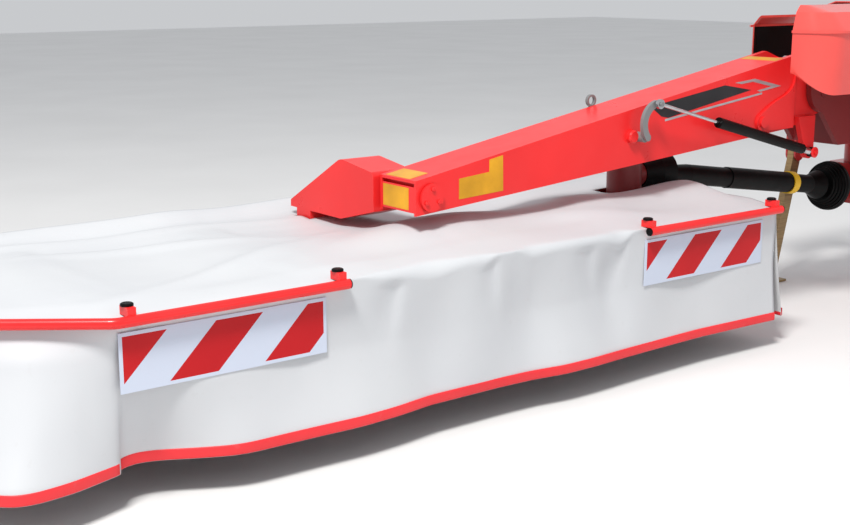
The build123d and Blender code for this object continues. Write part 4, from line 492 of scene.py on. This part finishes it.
sway = np.pad(np.interp(q, *zip(*SWAY)), SWAY_BLUR // 2, mode="edge")
sway = np.convolve(sway, np.ones(SWAY_BLUR) / SWAY_BLUR, mode="valid")
straight = smooth(q, *STRAIGHT)
hollows = sum(bell(q, place, width) for place, width in HOLLOWS)
billows = (waves(q, BILLOW_WAVES) - 1) * bell(q, BILLOW_PLACE, BILLOW_REACH)
by_panel = np.any([abs(front_x - middle) < PANEL_HALF + PANEL_MARGIN for middle in PANEL_MIDDLES], axis=0)
for v in DROPS:
    deep = min(v / HEM_SHARE, 1)
    rolled = ROLLED_FROM + (1 - ROLLED_FROM) * deep**ROLLED_POWER
    hung = np.clip((deep - HUNG_FROM) / (1 - HUNG_FROM), 0, 1) ** HUNG_POWER
    fall = rolled * (1 - straight) + hung * straight
    shift = sway * (fall * smooth(v, 0.0, SWAY_FULL))
    shift += sin(pi * v) * (BILLOW * billows - HOLLOW * hollows)
    for place, lean, width, depth, height in FOLDS:
        off = q - place - lean * v
        spread = width * (FOLD_NARROW + v) * np.where(off < 0, FOLD_SKEW, 1.0)
        shift -= depth * bell(off, 0, spread) * bell(v, height, FOLD_REACH) * smooth(v, 0, FOLD_FULL)
    shift = np.where(by_panel & (v < PANEL_SHARE), np.minimum(shift, -SINK), shift)
    z = EDGE_Z - SINK - v * (EDGE_Z - HEM_LOW - HEM_LAP) - edge_radius * (1 - v)
    rows.append(np.column_stack([front + front_out * shift[:, None], z]))
points = np.array(rows)
middle_x, middle_y, _ = np.moveaxis((points[:-1, :-1] + points[1:, 1:]) / 2, -1, 0)
top_rows = np.arange(len(points) - 1)[:, None] < len(shares)
shaft_notch = (middle_x > NOTCH_X) & between(middle_y, NOTCH_Y)
bracket_hole = (abs(middle_x - HOLE_X) < HOLE_HALF) & between(middle_y, HOLE_Y)
cover, cover_area = grid_mesh("cover_sheet", points, WHITE, keep=~(top_rows & (shaft_notch | bracket_hole)))
front_hem = hem_band("front_hem", points[-1], front_out)
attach(cover, "mower")
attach(front_hem, "mower")
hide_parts("cover_top", "curtain_front", "curtain_corner")
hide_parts("hems")

# Curtains hung round the outer end and the back, and across the inner end
HUNG = {
    "back_curtain": {
        "path": [CHAMFER_END, (OUTER_X, REAR_Y - REAR_CUT), (OUTER_X + REAR_CUT, REAR_Y), (INNER_X, REAR_Y)],
        "nodes": ("curtain_outer", "curtain_rear_corner", "curtain_rear"),
        "flat": (4.20, 0.50),
        "flare": 0.02,
    },
    "inner_curtain": {
        "path": [(INNER_X, REAR_Y), (INNER_X, FRONT_Y)],
        "nodes": ("curtain_inner",),
        "flat": (1.27, 0.52),
        "flare": 0.075,
    },
}
HUNG_ROWS, HUNG_SINK = 34, 0.007
HUNG_WAVES = ((0.008, 11, 0), (0.005, 23, 1))  # height, radians a metre, start
FLARE_FROM, FLARE_SPAN, FLARE_POWER = 0.35, (0.3, 1.0), 1.3
SHAFT_Y, SHAFT_HALF, SHAFT_DIP = 0.140, 0.095, 0.050  # the inner curtain's notch under the drive shaft
for name, plan in HUNG.items():
    path, out, run = rounded_path(plan["path"], HUNG_BEND, HUNG_STEP)
    top = ridge(np.clip(path[:, 1], FRONT_Y, REAR_Y)) - HUNG_SINK
    notch = (name == "inner_curtain") & (abs(path[:, 1] - SHAFT_Y) < SHAFT_HALF)
    top = np.where(notch, TOP_Z - SHAFT_DIP, top)
    wave = waves(run, HUNG_WAVES)
    lean = plan["flare"] * (FLARE_FROM + (1 - FLARE_FROM) * smooth(run / run[-1], *FLARE_SPAN))
    rows = []
    for v in np.linspace(0, 1, HUNG_ROWS):
        shift = (lean + wave) * v**FLARE_POWER
        z = top + v * (HEM_LOW + HEM_LAP - top)
        rows.append(np.column_stack([path + out * shift[:, None], z]))
    points = np.array(rows)
    curtain, area = grid_mesh(name, points, CURTAIN_SHADED_WHITE)
    hem = hem_band(name + "_hem", points[-1], out)
    for piece, kind in ((curtain, "cover_fabric"), (hem, "hem_fabric")):
        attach(piece, "mower")
    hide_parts(*plan["nodes"])


# Small fixed pieces: caps, bolts, stickers and trim
def show(made, material, body):
    """Gives a piece its material and body."""
    made.data.materials.append(material)
    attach(made, body)


def slab(name, corners, away, material, body):
    """Prism of a polygon of points, thickened by a vector."""
    base = [Vector(c) for c in corners]
    count = len(base)
    points = base + [c + Vector(away) for c in base]
    faces = [list(range(count))[::-1], list(range(count, 2 * count))]
    faces += [[i, (i + 1) % count, count + (i + 1) % count, count + i] for i in range(count)]
    mesh = bpy.data.meshes.new(name)
    mesh.from_pydata(points, [], faces)
    made = bpy.data.objects.new(name, mesh)
    scene.collection.objects.link(made)
    show(made, material, body)


STUD_EDGE, STUD_TOP = 0.72, 0.8  # share of the height where the chamfer starts, share of the radius on top


def stud(name, foot, away, radius, material, body, sides=28):
    """Round or six-sided head standing on a point, with a chamfered top."""
    away = Vector(away)
    height = away.length
    mesh = bpy.data.meshes.new(name)
    points = []
    for z, share in ((0, 1), (STUD_EDGE * height, 1), (height, STUD_TOP)):
        for k in range(sides):
            turn = 2 * pi * k / sides
            points.append((radius * share * cos(turn), radius * share * sin(turn), z))
    faces = [list(range(sides))[::-1], list(range(2 * sides, 3 * sides))]
    for low in (0, sides):
        for k in range(sides):
            after = (k + 1) % sides
            faces.append([low + k, low + after, low + sides + after, low + sides + k])
    mesh.from_pydata(points, [], faces)
    made = bpy.data.objects.new(name, mesh)
    made.rotation_euler = away.to_track_quat("Z", "Y").to_euler()
    made.location = foot
    scene.collection.objects.link(made)
    show(made, material, body)


ARM_FACE_Y, ARM_SLOPE, ARM_TIP = -0.175, 0.1711, (-0.930, 0.829)
FOIL = 0.0008


def arm_top(x):
    """Height of the arm's sloping top face."""
    return ARM_TIP[1] + ARM_SLOPE * (x - ARM_TIP[0])


def on_side(name, outline, material):
    """Foil on the arm's front face, outlined in x and z."""
    corners = [(x, ARM_FACE_Y, z) for x, z in outline]
    slab(name, corners, (0, -FOIL, 0), material, "arm")


def on_top(name, x, y, material):
    """Foil on the arm's top face, between two x and two y."""
    corners = [(a, b, arm_top(a)) for a, b in ((x[0], y[0]), (x[1], y[0]), (x[1], y[1]), (x[0], y[1]))]
    slab(name, corners, (0, 0, FOIL), material, "arm")


def on_tip(name, x, y, z, thick, material):
    """Plate or foil across the arm's tip, between two y and two z."""
    corners = [(x, a, b) for a, b in ((y[1], z[0]), (y[1], z[1]), (y[0], z[1]), (y[0], z[0]))]
    slab(name, corners, (-thick, 0, 0), material, "arm")


# Blank stickers and dark band on the arm
SIDE_STICKER = [(-0.738, 0.820), (-0.598, 0.832), (-0.598, 0.876), (-0.534, 0.887), (-0.531, 0.757),
                (-0.738, 0.746)]
BAND_FIELD = [(0.254, 1.003), (0.289, 1.022), (0.680, 1.076), (0.850, 1.048), (0.340, 0.964), (0.300, 0.972)]
BAND_LINE = [(0.322, 0.960), (0.924, 1.034), (0.925, 1.026), (0.322, 0.951)]
CHEVRON = [(0.743, 1.083), (0.872, 1.094), (1.051, 1.055), (0.911, 1.037), (0.890, 1.043), (0.985, 1.056),
           (0.860, 1.082), (0.785, 1.076)]
on_side("sticker_side", SIDE_STICKER, STICKER)
on_top("sticker_tip_top", (-0.922, -0.842), (-0.130, 0.012), STICKER)
on_top("sticker_root_top", (1.016, 1.068), (-0.165, 0.022), STICKER)
on_side("band_field", BAND_FIELD, BAND)
on_side("band_line", BAND_LINE, SILVER)
on_side("band_chevron", CHEVRON, SILVER)
PLATE_X, PLATE = -0.9265, 0.0025
on_tip("tip_plate", PLATE_X, (-0.1645, 0.0245), (0.714, 0.806), PLATE, RED)
on_tip("sticker_tip_plate", PLATE_X - PLATE, (-0.132, 0.018), (0.722, 0.800), FOIL, STICKER)

# Tilt pin head: three bolts
PIN_X, PIN_FACE_Y, PIN_Z = -0.865, -0.188, 0.766
BOLT_CIRCLE, BOLT_RADIUS, BOLT_HEIGHT = 0.032, 0.0085, 0.007
for k in range(3):
    turn = radians(90 + 120 * k)
    spot = (PIN_X + BOLT_CIRCLE * cos(turn), PIN_FACE_Y, PIN_Z + BOLT_CIRCLE * sin(turn))
    stud(f"pin_bolt_{k + 1}", spot, (0, -BOLT_HEIGHT, 0), BOLT_RADIUS, RED, "mower", sides=6)

# Clamp tabs: a knob on each front tab but the middle one, and caps in the open ends of the guard tubes
TAB_TOP_Z, FRONT_TAB_Y, MIDDLE_TAB = 0.6268, -0.424, 2
KNOB_RADIUS, KNOB_HEIGHT = 0.019, 0.009
for k, x in enumerate(CARRIERS):
    if k != MIDDLE_TAB:
        spot = (x, FRONT_TAB_Y, TAB_TOP_Z)
        stud(f"tab_knob_{k + 1}", spot, (0, 0, KNOB_HEIGHT), KNOB_RADIUS, BLACK, "mower")
FRONT_TUBE_Y, REAR_TUBE_Y, TUBE_Z = -0.455, 0.835, 0.589
CAP_RADIUS, CAP_HEIGHT = 0.0155, 0.006
TUBE_ENDS = {  # x, y, side the cap faces
    "tube_cap_outer": (-1.404, FRONT_TUBE_Y, 1),
    "tube_cap_inner_left": (-0.048, FRONT_TUBE_Y, -1),
    "tube_cap_inner_right": (0.730, FRONT_TUBE_Y, 1),
    "tube_cap_rear_left": (-2.460, REAR_TUBE_Y, -1),
    "tube_cap_rear_right": (0.730, REAR_TUBE_Y, 1),
}
for name, (x, y, side) in TUBE_ENDS.items():
    stud(name, (x, y, TUBE_Z), (CAP_HEIGHT * side, 0, 0), CAP_RADIUS, BLACK, "mower")

# Disc bolts, and black sheets on the inside of the headstock cover's back wall, painted shade where the
# roof's slot shows that wall
DISC_BOLT_RADIUS, DISC_BOLT_HEIGHT = 0.016, 0.010
for k in range(DISCS):
    low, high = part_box(f"disc_{k + 1}")
    spot = ((low[0] + high[0]) / 2, (low[1] + high[1]) / 2, high[2])
    stud(f"disc_bolt_{k + 1}", spot, (0, 0, DISC_BOLT_HEIGHT), DISC_BOLT_RADIUS, STEEL, f"disc_{k + 1}",
         sides=6)
SHADOW_SHEET_PATH = ((1.3375, 0.2105), (1.3420, 0.2165), (1.3530, 0.2245), (1.3725, 0.2285), (1.7900, 0.2285))
SHADOW_SHEET_LOW, SHADOW_SHEET_HIGH, SHADOW_SHEET_THICK = 1.045, 1.286, 0.002
for k, (first, last) in enumerate(zip(SHADOW_SHEET_PATH, SHADOW_SHEET_PATH[1:])):
    corners = [(*first, SHADOW_SHEET_LOW), (*last, SHADOW_SHEET_LOW), (*last, SHADOW_SHEET_HIGH), (*first, SHADOW_SHEET_HIGH)]
    slab(f"hood_painted_shadow_{k + 1}", corners, (0, -SHADOW_SHEET_THICK, 0), BLACK, "turret")

# Drive shaft sleeve, strut neck and clevis, and the boss beside the latch lever
SHAFT_FROM, SHAFT_TO = Vector((1.890, 0.140, 0.497)), Vector((0.600, 0.140, 0.685))
SLEEVE_START, SLEEVE_LENGTH, SLEEVE_RADIUS = 0.795, 0.395, 0.0455
along = (SHAFT_TO - SHAFT_FROM).normalized()
stud("guard_sleeve", SHAFT_FROM + along * SLEEVE_START, along * SLEEVE_LENGTH, SLEEVE_RADIUS, BLACK, "shaft",
     sides=40)
STRUT_FROM, STRUT_TO = Vector((1.244, -0.215, 0.756)), Vector((0.212, -0.246, 1.032))
NECK_START, NECK_LENGTH, NECK_RADIUS = 0.024, 0.060, 0.0150
CLEVIS_OFF, CLEVIS_HEIGHT, CLEVIS_RADIUS = Vector((0, -0.013, 0)), 0.006, 0.024
along = (STRUT_TO - STRUT_FROM).normalized()
stud("strut_neck", STRUT_FROM + along * NECK_START, along * NECK_LENGTH, NECK_RADIUS, CHROME, "arm")
stud("strut_clevis", STRUT_FROM + CLEVIS_OFF, (0, -CLEVIS_HEIGHT, 0), CLEVIS_RADIUS, RED, "arm")
BOSS_X, BOSS_Z, BOSS_HEIGHT, BOSS_RADIUS = 0.128, 0.905, 0.022, 0.026
stud("lever_boss", (BOSS_X, ARM_FACE_Y, BOSS_Z), (0, -BOSS_HEIGHT, 0), BOSS_RADIUS, RED, "arm")

# Camera at the photo's angle
YAW, PITCH = radians(52.37), radians(12.56)
CAMERA_AT = (-3.613, -3.707, 1.531)
SENSOR, FOCAL_PIXELS, PHOTO_WIDTH = 36, 1300, 850
camera_data = bpy.data.cameras.new("camera")
camera_data.sensor_width = SENSOR
camera_data.lens = SENSOR * FOCAL_PIXELS / PHOTO_WIDTH
camera_data.clip_end = 100
camera = bpy.data.objects.new("camera", camera_data)
camera.location = CAMERA_AT
aim = Vector((cos(YAW) * cos(PITCH), sin(YAW) * cos(PITCH), -sin(PITCH)))
camera.rotation_euler = aim.to_track_quat("-Z", "Y").to_euler()
scene.collection.objects.link(camera)
scene.camera = camera

# Floor and light
FLOOR_SIZE, FLOOR_DROP = 60, 0.002
FLOOR_TONES = ((0.76, 0.76, 0.76), (0.80, 0.80, 0.80))
SKY, SKY_STRENGTH = (0.95, 0.97, 1.0, 1), 0.61
bpy.ops.mesh.primitive_plane_add(size=FLOOR_SIZE, location=(0, 0, -FLOOR_DROP))
floor = bpy.context.object
floor.name = "floor"
ground = Mat("floor", rough=0.8)
ground.colour(ground.ramp(ground.noise(0.8, 4), list(zip((0.3, 0.7), FLOOR_TONES))))
floor.data.materials.append(ground.mat)
floor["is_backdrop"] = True

world = bpy.data.worlds.new("world")
scene.world = world
world.use_nodes = True
world.node_tree.nodes["Background"].inputs["Color"].default_value = SKY
world.node_tree.nodes["Background"].inputs["Strength"].default_value = SKY_STRENGTH


def area_light(name, place, target, size, power, colour):
    """Rectangular lamp at a place, turned to a target."""
    data = bpy.data.lights.new(name, "AREA")
    data.shape = "RECTANGLE"
    data.size, data.size_y = size
    data.energy = power
    data.color = colour
    light = bpy.data.objects.new(name, data)
    light.location = place
    light.rotation_euler = (Vector(target) - Vector(place)).to_track_quat("-Z", "Y").to_euler()
    scene.collection.objects.link(light)


area_light("key", place=(-4.9, -3.2, 8.3), target=(-0.4, 0, 0.6), size=(2.0, 1.6), power=1020,
           colour=(1.0, 0.98, 0.95))
area_light("fill", place=(1.5, -6.0, 3.5), target=(0.8, 0, 0.8), size=(4, 3), power=20,
           colour=(0.97, 0.98, 1.0))

scene.view_settings.view_transform = "Standard"
low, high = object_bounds()
